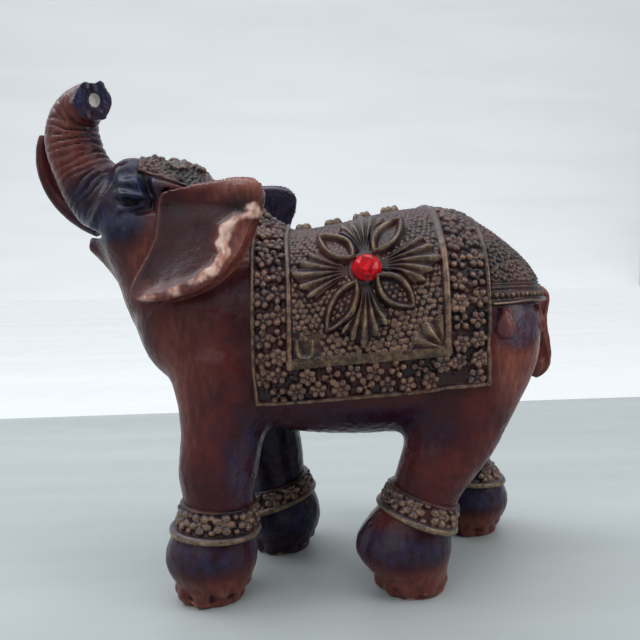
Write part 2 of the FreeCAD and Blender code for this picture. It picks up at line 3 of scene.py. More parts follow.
import bmesh
import bpy
import numpy as np
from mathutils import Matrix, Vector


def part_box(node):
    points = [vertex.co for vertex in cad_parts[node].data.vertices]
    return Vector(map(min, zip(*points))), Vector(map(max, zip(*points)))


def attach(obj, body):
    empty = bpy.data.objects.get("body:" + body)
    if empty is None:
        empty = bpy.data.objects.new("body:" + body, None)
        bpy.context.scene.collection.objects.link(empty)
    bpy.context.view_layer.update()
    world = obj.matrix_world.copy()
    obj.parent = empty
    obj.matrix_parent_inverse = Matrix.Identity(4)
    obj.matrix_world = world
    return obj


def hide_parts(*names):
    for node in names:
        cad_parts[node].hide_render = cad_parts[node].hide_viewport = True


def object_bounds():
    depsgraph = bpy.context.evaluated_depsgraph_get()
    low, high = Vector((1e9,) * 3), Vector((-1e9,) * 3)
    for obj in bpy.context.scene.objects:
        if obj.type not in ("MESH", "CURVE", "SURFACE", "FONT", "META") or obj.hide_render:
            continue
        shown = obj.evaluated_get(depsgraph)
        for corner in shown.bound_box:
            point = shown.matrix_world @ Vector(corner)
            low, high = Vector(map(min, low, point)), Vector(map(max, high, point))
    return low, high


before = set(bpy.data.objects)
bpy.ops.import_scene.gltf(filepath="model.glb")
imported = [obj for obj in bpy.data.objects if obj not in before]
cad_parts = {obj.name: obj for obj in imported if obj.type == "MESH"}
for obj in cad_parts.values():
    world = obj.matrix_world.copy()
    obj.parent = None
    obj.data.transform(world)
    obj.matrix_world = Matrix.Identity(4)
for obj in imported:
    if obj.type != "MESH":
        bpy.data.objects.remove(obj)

import openvdb as vdb
from mathutils import Matrix, Vector
from mathutils.kdtree import KDTree

# A small cast-resin elephant with a raised trunk and a beaded saddle cloth.  All modelling
# below is in millimetres in the working frame of the CAD model: the animal faces -X, its
# left side is -Y, Z = 0 is the ground and Y = 0 is the middle plane of the torso.

MM = 1000.0
cad_box = [list(corner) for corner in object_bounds()]
stone_low, stone_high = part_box("stone_left")
torso_low, torso_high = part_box("torso")
STONE_X = 7.2
ORIGIN = np.array([
    (stone_low.x + stone_high.x) / 2 * MM - STONE_X,
    (torso_low.y + torso_high.y) / 2 * MM,
    0.0,
])
VOXEL = 0.3
BAND = 4.5              # how far from a surface its distance is known
FINE = 0.16    # spacing of the relief meshes


# ---- Numbers to meshes --------------------------------------------------------------------

def to_row(points):
    """From millimetres in the working frame to the row's frame."""
    return (np.asarray(points, float) + ORIGIN) / MM


def unit(v):
    return v / np.maximum(np.linalg.norm(v, axis=-1, keepdims=True), 1e-9)


def smooth_step(low, high, x):
    """0 up to low and 1 from high on, and the other way round where low is above high."""
    t = np.clip((x - low) / (high - low), 0, 1)
    return t * t * (3 - 2 * t)


def hash_cell(i, seed):
    """A fixed number from 0 to 1 for each grid cell."""
    n = i[..., 0] * 73856093 ^ i[..., 1] * 19349663 ^ i[..., 2] * 83492791 ^ (seed * 7919 + 17)
    n = (n ^ (n >> 13)) * 1274126177
    n = n ^ (n >> 16)
    return (n & 0xFFFF) / 65535.0


def cell_corners(shares):
    """Each corner of a grid cell, and its weight for points at these shares of the cell."""
    for corner in np.ndindex(2, 2, 2):
        weight = np.ones(len(shares))
        for axis in range(3):
            weight *= shares[:, axis] if corner[axis] else 1 - shares[:, axis]
        yield np.array(corner), weight


def noise(p, size, seed):
    """Smooth value noise from -1 to 1 with features of this size."""
    q = np.asarray(p, float) / size
    cell = np.floor(q).astype(np.int64)
    f = q - cell
    total = np.zeros(len(q))
    for corner, weight in cell_corners(f * f * (3 - 2 * f)):
        total += weight * hash_cell(cell + corner, seed)
    return 2 * total - 1


def fractal(p, size, seed):
    """Three octaves of noise, from about -1 to 1."""
    return sum(noise(p, size / 2**k, seed + k) / 2**k for k in range(3)) / 1.75


def grid_noise(places, size, seed):
    """Noise at every point of a grid of places."""
    return noise(places.reshape(-1, 3), size, seed).reshape(places.shape[:-1])


def bell(x, width):
    """1 where x is 0, falling away smoothly on both sides."""
    return np.exp(-(x / width) ** 2)


def run_along(line):
    """How far along a line of points each of them is."""
    return np.concatenate([[0], np.cumsum(np.linalg.norm(np.diff(line, axis=0), axis=1))])


def places_along(wanted, run, line):
    """The places this far along a line of points."""
    return np.stack([np.interp(wanted, run, line[:, axis]) for axis in range(3)], -1)


def in_scene(name, data):
    """A new object in the scene."""
    obj = bpy.data.objects.new(name, data)
    bpy.context.scene.collection.objects.link(obj)
    return obj


def new_mesh(name, points, quads, normals=None, marks=None, tris=None):
    """An object from points in the working frame, faces, and named per-point numbers."""
    mesh = bpy.data.meshes.new(name)
    quads = np.asarray(quads, np.int32).reshape(-1, 4)
    tris = np.asarray([] if tris is None else tris, np.int32).reshape(-1, 3)
    corners = np.concatenate([quads.ravel(), tris.ravel()])
    starts = np.concatenate([
        np.arange(len(quads)) * 4,
        quads.size + np.arange(len(tris)) * 3,
    ]).astype(np.int32)
    mesh.vertices.add(len(points))
    mesh.vertices.foreach_set("co", to_row(points).astype(np.float32).ravel())
    mesh.loops.add(len(corners))
    mesh.loops.foreach_set("vertex_index", corners)
    mesh.polygons.add(len(starts))
    mesh.polygons.foreach_set("loop_start", starts)
    mesh.polygons.foreach_set("use_smooth", np.full(len(starts), True))
    mesh.update(calc_edges=True)
    mesh.validate()
    for key, values in (marks or {}).items():
        layer = mesh.attributes.new(key, "FLOAT", "POINT")
        layer.data.foreach_set("value", np.asarray(values, np.float32))
    if normals is not None:
        mesh.normals_split_custom_set_from_vertices(np.asarray(normals, np.float32))
    return in_scene(name, mesh)


def open_edges(faces):
    """Directed edges that no face runs along the other way."""
    ends = np.concatenate([faces[:, [k, (k + 1) % 4]] for k in range(4)]).astype(np.int64)
    size = int(faces.max()) + 1
    keys = ends[:, 0] * size + ends[:, 1]
    back = ends[:, 1] * size + ends[:, 0]
    return ends[~np.isin(keys, back)]


def take_part(chosen, points, quads, normals, marks):
    """The faces whose first point is chosen, with their points renumbered."""
    faces = quads[chosen[quads[:, 0]]]
    used = np.unique(faces)
    renumber = np.zeros(len(points), int)
    renumber[used] = np.arange(len(used))
    own = {key: np.asarray(values).ravel()[used] for key, values in marks.items()}
    return points[used], renumber[faces], normals[used], own, used


def backed_object(name, chosen, points, quads, normals, marks, floor):
    """A closed piece: the chosen faces, a back at the floor points, and walls between."""
    top, faces, norm, own, used = take_part(chosen, points, quads, normals, marks)
    count = len(top)
    rim = open_edges(faces)
    walls = np.stack([rim[:, 1], rim[:, 0], rim[:, 0] + count, rim[:, 1] + count], -1)
    whole = np.concatenate([faces, faces[:, ::-1] + count, walls])
    own = {key: np.concatenate([values, values]) for key, values in own.items()}
    return new_mesh(name, np.concatenate([top, floor[used]]), whole,
                    np.concatenate([norm, -norm]), own)


def capped_object(name, chosen, points, quads, normals, marks):
    """A closed piece: the chosen faces, and a fan across each hole, which lies inside the body."""
    top, faces, norm, own, _ = take_part(chosen, points, quads, normals, marks)
    rim = open_edges(faces)
    group = {}

    def root(i):
        while group.setdefault(i, i) != i:
            group[i] = group[group[i]]
            i = group[i]
        return i

    for a, b in rim.tolist():
        group[root(a)] = root(b)
    loops = {}
    for a, b in rim.tolist():
        loops.setdefault(root(a), []).append((a, b))
    middles, tris = [], []
    for edges in loops.values():
        middle = len(top) + len(middles)
        middles.append(top[[a for a, _ in edges]].mean(0))
        tris += [(b, a, middle) for a, b in edges]
    if middles:
        top = np.concatenate([top, middles])
        norm = np.concatenate([norm, np.tile([[0.0, 0.0, 1.0]], (len(middles), 1))])
        own = {key: np.concatenate([v, np.zeros(len(middles))]) for key, v in own.items()}
    return new_mesh(name, top, faces, norm, own, tris or None)


def point_normals(points, quads):
    """Each point's normal, from the faces round it."""
    a, b, c, d = (points[quads[:, k]] for k in range(4))
    face = np.cross(c - a, d - b)
    out = np.zeros_like(points)
    for k in range(4):
        np.add.at(out, quads[:, k], face)
    return unit(out)


def grid_quads(rows, columns, closed=False):
    """Faces of a grid of points stored row by row; closed joins the last column to the first."""
    across = columns if closed else columns - 1
    i, j = np.meshgrid(np.arange(rows - 1), np.arange(across), indexing="ij")
    nxt = (j + 1) % columns
    a, b = i * columns + j, i * columns + nxt
    c, d = (i + 1) * columns + nxt, (i + 1) * columns + j
    return np.stack([a, b, c, d], -1).reshape(-1, 4)


# ---- Distance fields ----------------------------------------------------------------------

GRID_MARGIN = 3.0
low_corner = np.array(cad_box[0]) * MM - ORIGIN - GRID_MARGIN
high_corner = np.array(cad_box[1]) * MM - ORIGIN + GRID_MARGIN
GRID_LOW = np.floor(low_corner / VOXEL).astype(int)
GRID_START = tuple(int(v) for v in GRID_LOW)
GRID_SHAPE = tuple(np.ceil(high_corner / VOXEL).astype(int) - GRID_LOW)
TRANSFORM = vdb.createLinearTransform(voxelSize=VOXEL)


def node_distance(name):
    """The signed distance to a CAD node over the whole grid, in millimetres."""
    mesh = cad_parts[name].data
    points = np.empty(len(mesh.vertices) * 3, np.float32)
    mesh.vertices.foreach_get("co", points)
    mesh.calc_loop_triangles()
    faces = np.empty(len(mesh.loop_triangles) * 3, np.int32)
    mesh.loop_triangles.foreach_get("vertices", faces)
    points = (points.reshape(-1, 3) * MM - ORIGIN).astype(np.float32)
    grid = vdb.FloatGrid.createLevelSetFromPolygons(
        points, triangles=faces.reshape(-1, 3).astype(np.uint32),
        transform=TRANSFORM, halfWidth=BAND / VOXEL)
    field = np.empty(GRID_SHAPE, np.float32)
    grid.copyToArray(field, ijk=GRID_START)
    return field


def soft_union(a, b, radius):
    """a and b, run together over this distance."""
    h = np.maximum(radius - np.abs(a - b), 0) / radius
    return np.minimum(a, b) - h * h * radius / 4


def soft_cut(a, b, radius):
    """a without b."""
    return -soft_union(-a, b, radius)


class Window:
    """A box of the grid, for work on one place without touching the rest."""

    def __init__(self, low, high):
        i0 = np.maximum(np.floor(np.array(low) / VOXEL).astype(int) - GRID_LOW, 0)
        i1 = np.minimum(np.ceil(np.array(high) / VOXEL).astype(int) - GRID_LOW, GRID_SHAPE)
        self.part = tuple(slice(a, b) for a, b in zip(i0, i1))
        axes = [(np.arange(a, b) + g) * VOXEL for a, b, g in zip(i0, i1, GRID_LOW)]
        self.x, self.y, self.z = np.meshgrid(*axes, indexing="ij", sparse=True)

    def ellipsoid(self, centre, radii, turn):
        """Roughly the distance to an ellipsoid, turned about Y by `turn` degrees."""
        c, s = math.cos(math.radians(turn)), math.sin(math.radians(turn))
        x, y, z = self.x - centre[0], self.y - centre[1], self.z - centre[2]
        u, w = c * x - s * z, s * x + c * z
        k = np.sqrt((u / radii[0]) ** 2 + (y / radii[1]) ** 2 + (w / radii[2]) ** 2)
        return (k - 1) * min(radii)


def sample(field, points):
    """The field at these points, by linear interpolation."""
    q = points / VOXEL - GRID_LOW
    q = np.clip(q, 0, np.array(GRID_SHAPE) - 1.001)
    i = q.astype(int)
    total = np.zeros(len(points))
    for corner, weight in cell_corners(q - i):
        total += weight * field[tuple((i + corner).T)]
    return total


def slope(field, points, step=0.6):
    """The outward direction of the field at these points."""
    out = np.empty_like(points)
    for axis in range(3):
        shift = np.zeros(3)
        shift[axis] = step
        out[:, axis] = sample(field, points + shift) - sample(field, points - shift)
    return unit(out)


def grid_slope(field, places):
    """The outward direction at every point of a grid of places."""
    return slope(field, places.reshape(-1, 3), 0.9).reshape(places.shape)


RAY_STEPS, RAY_STEP = 70, 0.9       # of a ray: how many, and each one's share of the distance


def leave(field, starts, directions, reach=60.0):
    """Where rays that start inside come out."""
    t = np.zeros(len(starts))
    for _ in range(RAY_STEPS):
        d = sample(field, starts + directions * t[:, None])
        t = np.minimum(t + np.maximum(-d, 0) * RAY_STEP, reach)
    return starts + directions * t[:, None]


def make_skin(field):
    """Points, faces and normals of the surface where the distance is zero."""
    grid = vdb.FloatGrid(BAND)
    grid.copyFromArray(np.ascontiguousarray(field), ijk=GRID_START, tolerance=0.0)
    grid.transform = TRANSFORM
    grid.gridClass = vdb.GridClass.LEVEL_SET
    points, _, quads = grid.convertToPolygons(isovalue=0.0, adaptivity=0.0)
    points, quads = points.astype(float), quads.astype(int)
    normals = point_normals(points, quads)
    if (normals * slope(field, points, VOXEL * 1.5)).sum() < 0:
        quads = quads[:, ::-1]
        normals = -normals
    return points, quads, normals


# ---- The bare animal ----------------------------------------------------------------------

LEG_NAMES = ("front_left", "front_right", "hind_left", "hind_right")
# Middle of each sole, as x and y
FEET = {
    "front_left": (-22.4, -10.4),
    "front_right": (-8.6, 12.6),
    "hind_left": (16.6, -11.4),
    "hind_right": (36.0, 17.6),
}
TRUNK_PATH = np.array([
    (-38.0, 0.0, 76.0), (-42.2, 0.0, 77.8), (-45.3, 0.0, 81.2), (-47.3, 0.0, 85.4),
    (-48.1, 0.0, 89.5), (-47.5, -0.3, 92.7), (-45.8, -1.6, 94.7), (-43.6, -4.0, 95.3),
    (-42.3, -6.4, 95.0),
])
TIP = TRUNK_PATH[-1]
TIP_OUT = unit(TRUNK_PATH[-1] - TRUNK_PATH[-2])
# How softly each mass runs into those before it
BODY_BLENDS = {**{"leg_" + leg: 4.0 for leg in LEG_NAMES},
               "head": 4.0, "lower_jaw": 1.6, "trunk": 2.4}
OUTER_BLENDS = {"ear_left": 1.3, "ear_right": 1.3, "tail": 1.0,
                **{"toenails_" + leg: 1.2 for leg in LEG_NAMES}}
# Ellipsoids on both sides of the head, y being outwards: how each is joined, its middle and
# half sizes, how softly it is joined, and its turn about Y in degrees
HEAD_SHAPES = (
    (soft_union, (-34.8, 5.2, 80.6), (4.6, 4.0, 3.6), 2.0, 20),     # forehead
    (soft_union, (-30.6, 9.9, 78.3), (5.6, 2.1, 1.7), 1.5, 8),      # brow
    (soft_union, (-29.2, 11.0, 70.0), (2.9, 2.0, 4.4), 1.8, 12),    # cheek
    (soft_union, (-35.6, 7.6, 70.6), (4.4, 3.2, 3.4), 2.2, -25),    # tusk socket
    (soft_cut, (-32.4, 11.2, 78.8), (0.9, 1.8, 4.2), 1.1, -18),     # brow fold
    (soft_cut, (-34.4, 11.7, 75.2), (2.6, 1.7, 1.7), 1.2, 10),      # eye socket
    (soft_cut, (-27.2, 13.6, 74.6), (2.0, 1.8, 2.4), 1.2, 0),       # temple
    (soft_union, (-34.8, 10.3, 76.7), (2.6, 2.0, 0.8), 0.9, 12),    # upper lid
    (soft_union, (-34.7, 10.2, 74.7), (2.1, 1.2, 0.5), 0.9, -8),    # lower lid
)
MOUTH = (soft_cut, (-45.6, 0.0, 70.9), (5.2, 10.0, 0.9), 0.6, 17)


def joined_nodes(field, blends):
    """The field with these CAD nodes run softly into it."""
    for node, blend in blends.items():
        field = soft_union(field, node_distance(node), blend)
    return field


def shape_ellipsoid(field, side, join, centre, radii, blend, turn):
    """Joins an ellipsoid to the field, or cuts it out."""
    centre = np.array(centre) * np.array([1, side, 1])
    reach = max(radii) + blend
    win = Window(centre - reach, centre + reach)
    field[win.part] = join(field[win.part], win.ellipsoid(centre, radii, turn), blend)


TIP_ACROSS = unit(np.cross(TIP_OUT, (0, 0, 1)))
TIP_UP = np.cross(TIP_ACROSS, TIP_OUT)
TIP_REACH = 6.5             # how far from the tip its shape is worked
RIM_RADIUS = 3.45
CUP_DEPTH = 1.0
CORE_RADIUS = 2.0           # of the plug that closes the bore behind the cup


def tip_axes(dx, dy, dz):
    """Distance out past the trunk's end face, and place on that face."""
    return tuple(dx * a[0] + dy * a[1] + dz * a[2] for a in (TIP_OUT, TIP_ACROSS, TIP_UP))


def make_trunk_tip(field):
    """Gives the end a flat face with an uneven six-sided rim, and makes the bore a shallow cup."""
    win = Window(TIP - TIP_REACH, TIP + TIP_REACH)
    out, u, v = tip_axes(win.x - TIP[0], win.y - TIP[1], win.z - TIP[2])
    angle = np.arctan2(v, u)
    radial = np.hypot(u, v)
    rim = RIM_RADIUS + 0.30 * np.cos(6 * angle + 0.5) + 0.22 * np.cos(2 * angle + 2.2)
    rim = rim + 0.16 * np.cos(9 * angle + 1.1) - bell(angle - 1.55, 0.20)
    collar = np.maximum(radial - rim - 0.10 * out, np.abs(out + 1.3) - 1.3)
    local = soft_union(field[win.part], collar, 0.7)
    local = np.maximum(local, out)
    hole = cup_edge(u, v)
    cup = np.maximum(hole, -CUP_DEPTH - out)
    core = np.maximum(radial - CORE_RADIUS, np.abs(out + CUP_DEPTH + 1.8) - 1.8)
    local = np.minimum(np.maximum(local, -cup), core)
    field[win.part] = np.where(radial < 6.0, local, field[win.part])


def cup_edge(u, v):
    """Distance outside the rim of the cup in the trunk's end."""
    return np.hypot(u + 0.35, (v - 0.25) / 1.2) - 1.05


INSIDE_OF_BEND = (1.0, 0.0, -0.35)


def trunk_places(points):
    """How far along the trunk each point is, and how far round towards the inside of its bend."""
    dense = []
    for i in range(len(TRUNK_PATH) - 1):
        for t in np.linspace(0, 1, 12, endpoint=False):
            dense.append(TRUNK_PATH[i] * (1 - t) + TRUNK_PATH[i + 1] * t)
    dense = np.array(dense + [TRUNK_PATH[-1]])
    run = run_along(dense)
    tangent = unit(np.gradient(dense, axis=0))
    nearest = np.zeros(len(points), int)
    best = np.full(len(points), 1e9)
    for i, place in enumerate(dense):
        d = ((points - place) ** 2).sum(1)
        closer = d < best
        nearest[closer], best[closer] = i, d[closer]
    offset = points - dense[nearest]
    along = run[nearest] + (offset * tangent[nearest]).sum(1)
    inward = unit(np.cross(np.cross(tangent[nearest], INSIDE_OF_BEND), tangent[nearest]))
    return along, (unit(offset) * inward).sum(1), run[-1]


CREASE_PITCH, CREASE_DEPTH = 1.40, 0.52     # of the trunk's creases
FOOT_RADIUS_2 = 90.0        # square of the distance round a foot's middle where its toes end
LEG_TOP = (34.0, 44.0)      # heights between which the drag marks on the legs end


def skin_relief(points):
    """Fine shape of the skin, outwards in millimetres."""
    lift = 0.10 * fractal(points, 5.0, 11) + 0.05 * noise(points, 1.1, 5)
    trunk = smooth_step(-38.5, -42.5, points[:, 0]) * smooth_step(71.5, 74.5, points[:, 2])
    trunk *= (np.abs(points[:, 1] - 6.4) > 2.4) | (points[:, 0] > -50.2)
    along, inside, total = trunk_places(points)
    wobble = 0.5 * noise(points, 3.0, 21)
    phase = (along + wobble) / CREASE_PITCH
    crease = np.abs((phase - np.floor(phase)) - 0.5) * 2
    ends = smooth_step(2.0, 7.0, along) * smooth_step(1.2, 3.2, total - along)
    fade = (0.30 + 0.70 * smooth_step(-0.9, 0.2, inside)) * ends
    fade = fade * (0.75 + 0.5 * noise(points, 2.6, 22))
    lift += trunk * fade * (0.10 - CREASE_DEPTH * bell(1 - crease, 0.26))
    from_tip = points - TIP
    face = smooth_step(0.5, 0.1, np.abs(from_tip @ TIP_OUT))
    face *= np.linalg.norm(from_tip, axis=1) < 5
    lift += face * 0.14 * noise(points, 0.7, 23)
    # Rough toes and the lip round each sole
    for x, y in FEET.values():
        near = bell((points[:, 0] - x) ** 2 + (points[:, 1] - y) ** 2, FOOT_RADIUS_2)
        base = near * (1 - smooth_step(2.6, 4.2, points[:, 2]))
        angle = np.arctan2(points[:, 1] - y, points[:, 0] - x)
        flute = np.abs(np.cos(angle * 5.5 + 0.8))
        flat = smooth_step(0.2, 0.7, points[:, 2])
        lift += base * flat * (0.55 * noise(points, 1.7, 31) + 0.35 * flute + 0.15)
    # Drag marks down the legs
    leg = 1 - smooth_step(*LEG_TOP, points[:, 2])
    stretched = points * np.array([1.0, 1.0, 0.34])
    lift += leg * 0.07 * noise(stretched, 0.9, 41)
    return lift


def steps_over(length):
    """How many steps of the relief meshes cover a length."""
    return int(length / FINE)


RAY_SPREAD, RAYS = 2.3, 461     # of the rays that find a cloth: radians either side of up, count


def drape(field, xs, core_z, low, columns):
    """Points of a cloth over the body: a row for each x, from the left lower edge over the top
    to the right one, evenly spaced along the surface.  Also each one's signed run from the top,
    and how far down each side's lower edge is."""
    angles = np.linspace(-RAY_SPREAD, RAY_SPREAD, RAYS)
    fan = np.stack([np.zeros_like(angles), np.sin(angles), np.cos(angles)], -1)
    starts = np.repeat(np.array([[x, 0.0, core_z] for x in xs]), len(angles), axis=0)
    hits = leave(field, starts, np.tile(fan, (len(xs), 1))).reshape(len(xs), len(angles), 3)
    middle = len(angles) // 2
    places = np.empty((len(xs), columns, 3))
    runs = np.empty((len(xs), columns))
    reach = np.empty((len(xs), 2))
    share = np.linspace(-1, 1, columns)
    for i, x in enumerate(xs):
        for side, half in ((0, hits[i, middle::-1]), (1, hits[i, middle:])):
            run = run_along(half)
            below = np.nonzero(half[:, 2] < low(x))[0]
            k = below[0] if len(below) and below[0] > 0 else 1
            t = (half[k - 1, 2] - low(x)) / max(half[k - 1, 2] - half[k, 2], 1e-6)
            end = run[k - 1] + np.clip(t, 0, 1) * (run[k] - run[k - 1])
            mine = share <= 0 if side == 0 else share > 0
            wanted = np.abs(share[mine]) * end
            places[i, mine] = places_along(wanted, run, half)
            runs[i, mine] = np.sign(share[mine]) * wanted
            reach[i, side] = end
    return places, runs, reach


class Cloth:
    """A draped grid that can be asked for the place at any x and run."""

    def __init__(self, field, xs, core_z, low, columns):
        self.xs = xs
        self.places, self.runs, self.reach = drape(field, xs, core_z, low, columns)
        self.normals = grid_slope(field, self.places)
        self.rows, self.columns = self.runs.shape
        self.edge = np.minimum(self.runs + self.reach[:, :1], self.reach[:, 1:] - self.runs)

    def at(self, x, run):
        """Place and normal at this x and this signed run from the top."""
        i = np.clip(np.interp(x, self.xs, np.arange(self.rows)), 0, self.rows - 1.001)
        left = np.interp(x, self.xs, self.reach[:, 0])
        right = np.interp(x, self.xs, self.reach[:, 1])
        share = np.where(run < 0, run / left, run / right)
        j = np.clip((share + 1) / 2 * (self.columns - 1), 0, self.columns - 1.001)
        i0, j0 = i.astype(int), j.astype(int)
        fi, fj = (i - i0)[..., None], (j - j0)[..., None]

        def mix(grid):
            top = grid[i0, j0] * (1 - fj) + grid[i0, j0 + 1] * fj
            low = grid[i0 + 1, j0] * (1 - fj) + grid[i0 + 1, j0 + 1] * fj
            return top * (1 - fi) + low * fi

        return mix(self.places), unit(mix(self.normals))

    def spot(self, x, run):
        """Place and normal at a single x and run."""
        places, normals = self.at(np.array([x]), np.array([run]))
        return places[0], normals[0]

    def reach_at(self, x, side):
        """The run from the top to one side's lower edge at this x."""
        return float(np.interp(x, self.xs, self.reach[:, 0 if side < 0 else 1]))


def dome(lift, places, centre, radius, height, base=0.0):
    """Raises `lift` to a round boss on the surface."""
    d2 = ((places - centre) ** 2).sum(-1)
    inside = d2 < radius * radius
    lift[inside] = np.maximum(lift[inside], base + height * np.sqrt(1 - d2[inside] / radius**2))


def flower(lift, places, centre, normal, size, height, base, turn, petals=5):
    """Round petals in a ring with a bead in the middle."""
    across = unit(np.cross(normal, (0.31, 0.17, 0.93)))
    other = np.cross(normal, across)
    near = ((places - centre) ** 2).sum(-1) < (size * 1.4) ** 2
    spot, mine = places[near], lift[near]
    for k in range(petals):
        angle = turn + 2 * math.pi * k / petals
        out = across * math.cos(angle) + other * math.sin(angle)
        dome(mine, spot, centre + out * size * 0.62, size * 0.40, height, base)
        dome(mine, spot, centre + out * size * 0.34, size * 0.22, height * 0.8, base)
    dome(mine, spot, centre, size * 0.20, height * 0.95, base)
    lift[near] = mine


def ridge(e, middle, half):
    """The round section of a rib whose middle is at e = middle."""
    return np.sqrt(np.clip(1 - ((e - middle) / half) ** 2, 0, 1))


def bead_lift(places, centres, radii, height):
    """Close-set beads: the height at each place above the floor between them."""
    tree = KDTree(len(centres))
    for i, c in enumerate(centres):
        tree.insert(c, i)
    tree.balance()
    out = np.zeros(len(places))
    for i, p in enumerate(places):
        _, k, d = tree.find(p)
        r = radii[k]
        if d < r:
            out[i] = height * r * math.sqrt(1 - (d / r) ** 2)
    return out


BEAD_JITTER = 0.16      # of the field's beads, and the next two, as shares of their pitch
BEAD_RADIUS = 0.56
BEAD_ROW_PITCH = 0.88


def bead_places(cloth, x_range, pitch_at, seed):
    """Places and radii of beads in uneven rows over a cloth; their pitch depends on the height."""
    rng = np.random.default_rng(seed)
    found, sizes = [], []
    for side in (-1, 1):
        run = 0.4
        row = 0
        limit = cloth.reach[:, 0 if side < 0 else 1].max()
        while run < limit:
            middle, _ = cloth.spot(sum(x_range) / 2, side * run)
            pitch = pitch_at(middle[2])
            xs = np.arange(x_range[0] + (row % 2) * pitch / 2, x_range[1], pitch)
            runs = side * run + rng.uniform(-BEAD_JITTER, BEAD_JITTER, len(xs)) * pitch
            xs = xs + rng.uniform(-BEAD_JITTER, BEAD_JITTER, len(xs)) * pitch
            places, _ = cloth.at(xs, runs)
            found.append(places)
            sizes.append(np.full(len(xs), pitch * BEAD_RADIUS))
            run += pitch * BEAD_ROW_PITCH
            row += 1
    return np.concatenate(found), np.concatenate(sizes)


class Relief:
    """A raised grid on the body, ready to be divided into pieces."""

    def __init__(self, places, outward, lift, marks, closed=False, sink=0.6):
        rows, columns = lift.shape
        self.floor = (places - outward * sink).reshape(-1, 3)
        self.points = (places + outward * lift[..., None]).reshape(-1, 3)
        self.quads = grid_quads(rows, columns, closed)
        self.normals = point_normals(self.points, self.quads)
        if (self.normals * outward.reshape(-1, 3)).sum() < 0:
            self.quads = self.quads[:, ::-1]
            self.normals = -self.normals
        self.marks = marks

    def piece(self, name, chosen):
        return backed_object(name, np.asarray(chosen).ravel(), self.points, self.quads,
                             self.normals, self.marks, self.floor)


# ---- Saddle cloth -------------------------------------------------------------------------

CLOTH_FRONT, CLOTH_REAR = -13.8, 29.7   # its edges in x
CLOTH_THICK = 0.9
CLOTH_CORE = 52.0       # height inside the body from which the rays to the cloth start
CLOTH_GIRTH = 108.0     # about its length over the back, which sets the mesh's spacing
BORDER = {"front": 6.4, "rear": 7.6, "low": 6.6}    # its width with the piping round it
RIB = {"front": 1.2, "rear": 1.6, "low": 1.9}       # width of the rib between it and the field
PIPE = 1.0                                          # width of the piping


def cloth_low(x):
    """Height of the saddle cloth's lower edges."""
    return 38.2 + 2.6 * (x - CLOTH_FRONT) / (CLOTH_REAR - CLOTH_FRONT)


BORDER_SINK = 0.12      # of the border's ground below the field's
FLOWER_PITCH = 3.8
LANE = 1.35             # of the two staggered rows from the middle of the border
FLOWER_JITTER = 0.28
FLOWER_SIZE = (1.7, 2.0)
PETAL_COUNTS = (4, 5, 5, 6)


def border_spots(cloth, side):
    """Flower places round one side's border, as x and signed run, in two staggered rows."""
    spots = []
    for x, reach_in in ((CLOTH_FRONT + (PIPE + BORDER["front"]) / 2, 0.0),
                        (CLOTH_REAR - (PIPE + BORDER["rear"]) / 2, 0.35)):
        end = cloth.reach_at(x, side) - PIPE - 1.6
        count = round(end / FLOWER_PITCH)
        for k in range(count + 1):
            for lane, offset in ((-1, 0.0), (1, 0.5)):
                run = end * (k + offset) / (count + 0.5)
                spots.append((x + lane * (LANE + reach_in), side * run))
    x0, x1 = CLOTH_FRONT + BORDER["front"] + 0.8, CLOTH_REAR - BORDER["rear"] - 0.8
    count = round((x1 - x0) / FLOWER_PITCH)
    for k in range(count):
        for lane, offset in ((-1, 0.25), (1, 0.75)):
            x = x0 + (x1 - x0) * (k + offset) / count
            middle = cloth.reach_at(x, side) - (PIPE + BORDER["low"]) / 2
            spots.append((x, side * (middle - lane * LANE)))
    return spots


LEAF_REACH = 5.0                        # of a corner leaf from its middle
STUD_PLACES = (-3.0, 3.4, 9.2, 15.0)    # along the spine


def loop_leaf(dx, dz):
    """The front corner's leaf: a raised loop on a small square plate."""
    on_plate = (np.abs(dx) < 2.8) & (np.abs(dz) < 2.8)
    loop = np.abs(np.hypot(dx, np.minimum(dz + 0.4, 0)) - 1.35)
    loop = np.where(dz > 1.6, 9.0, loop)
    notch = np.hypot(dx, dz - 2.4) < 1.1
    return np.where(on_plate & ~notch, 0.3 + 0.75 * bell(loop, 0.42), 0.0)


def fan_leaf(dx, dz):
    """The rear corner's leaf: ribs that spread from its lower corner."""
    angle = np.arctan2(dz + 2.4, 2.0 - dx)
    r = np.hypot(dz + 2.4, dx - 2.0)
    lobes = 0.5 + 0.5 * np.cos((angle - 0.85) * 11.0)
    inside = (r < 5.2 + 0.7 * lobes) & (angle > -0.2) & (angle < 1.9) & (r > 0.5)
    return np.where(inside, 0.25 + 0.75 * lobes * smooth_step(0.3, 2.0, r), 0)


def field_bead_pitch(z):
    """Spacing of the field's beads at a height."""
    return float(np.interp(z, (46, 66, 72), (1.22, 0.95, 0.85)))


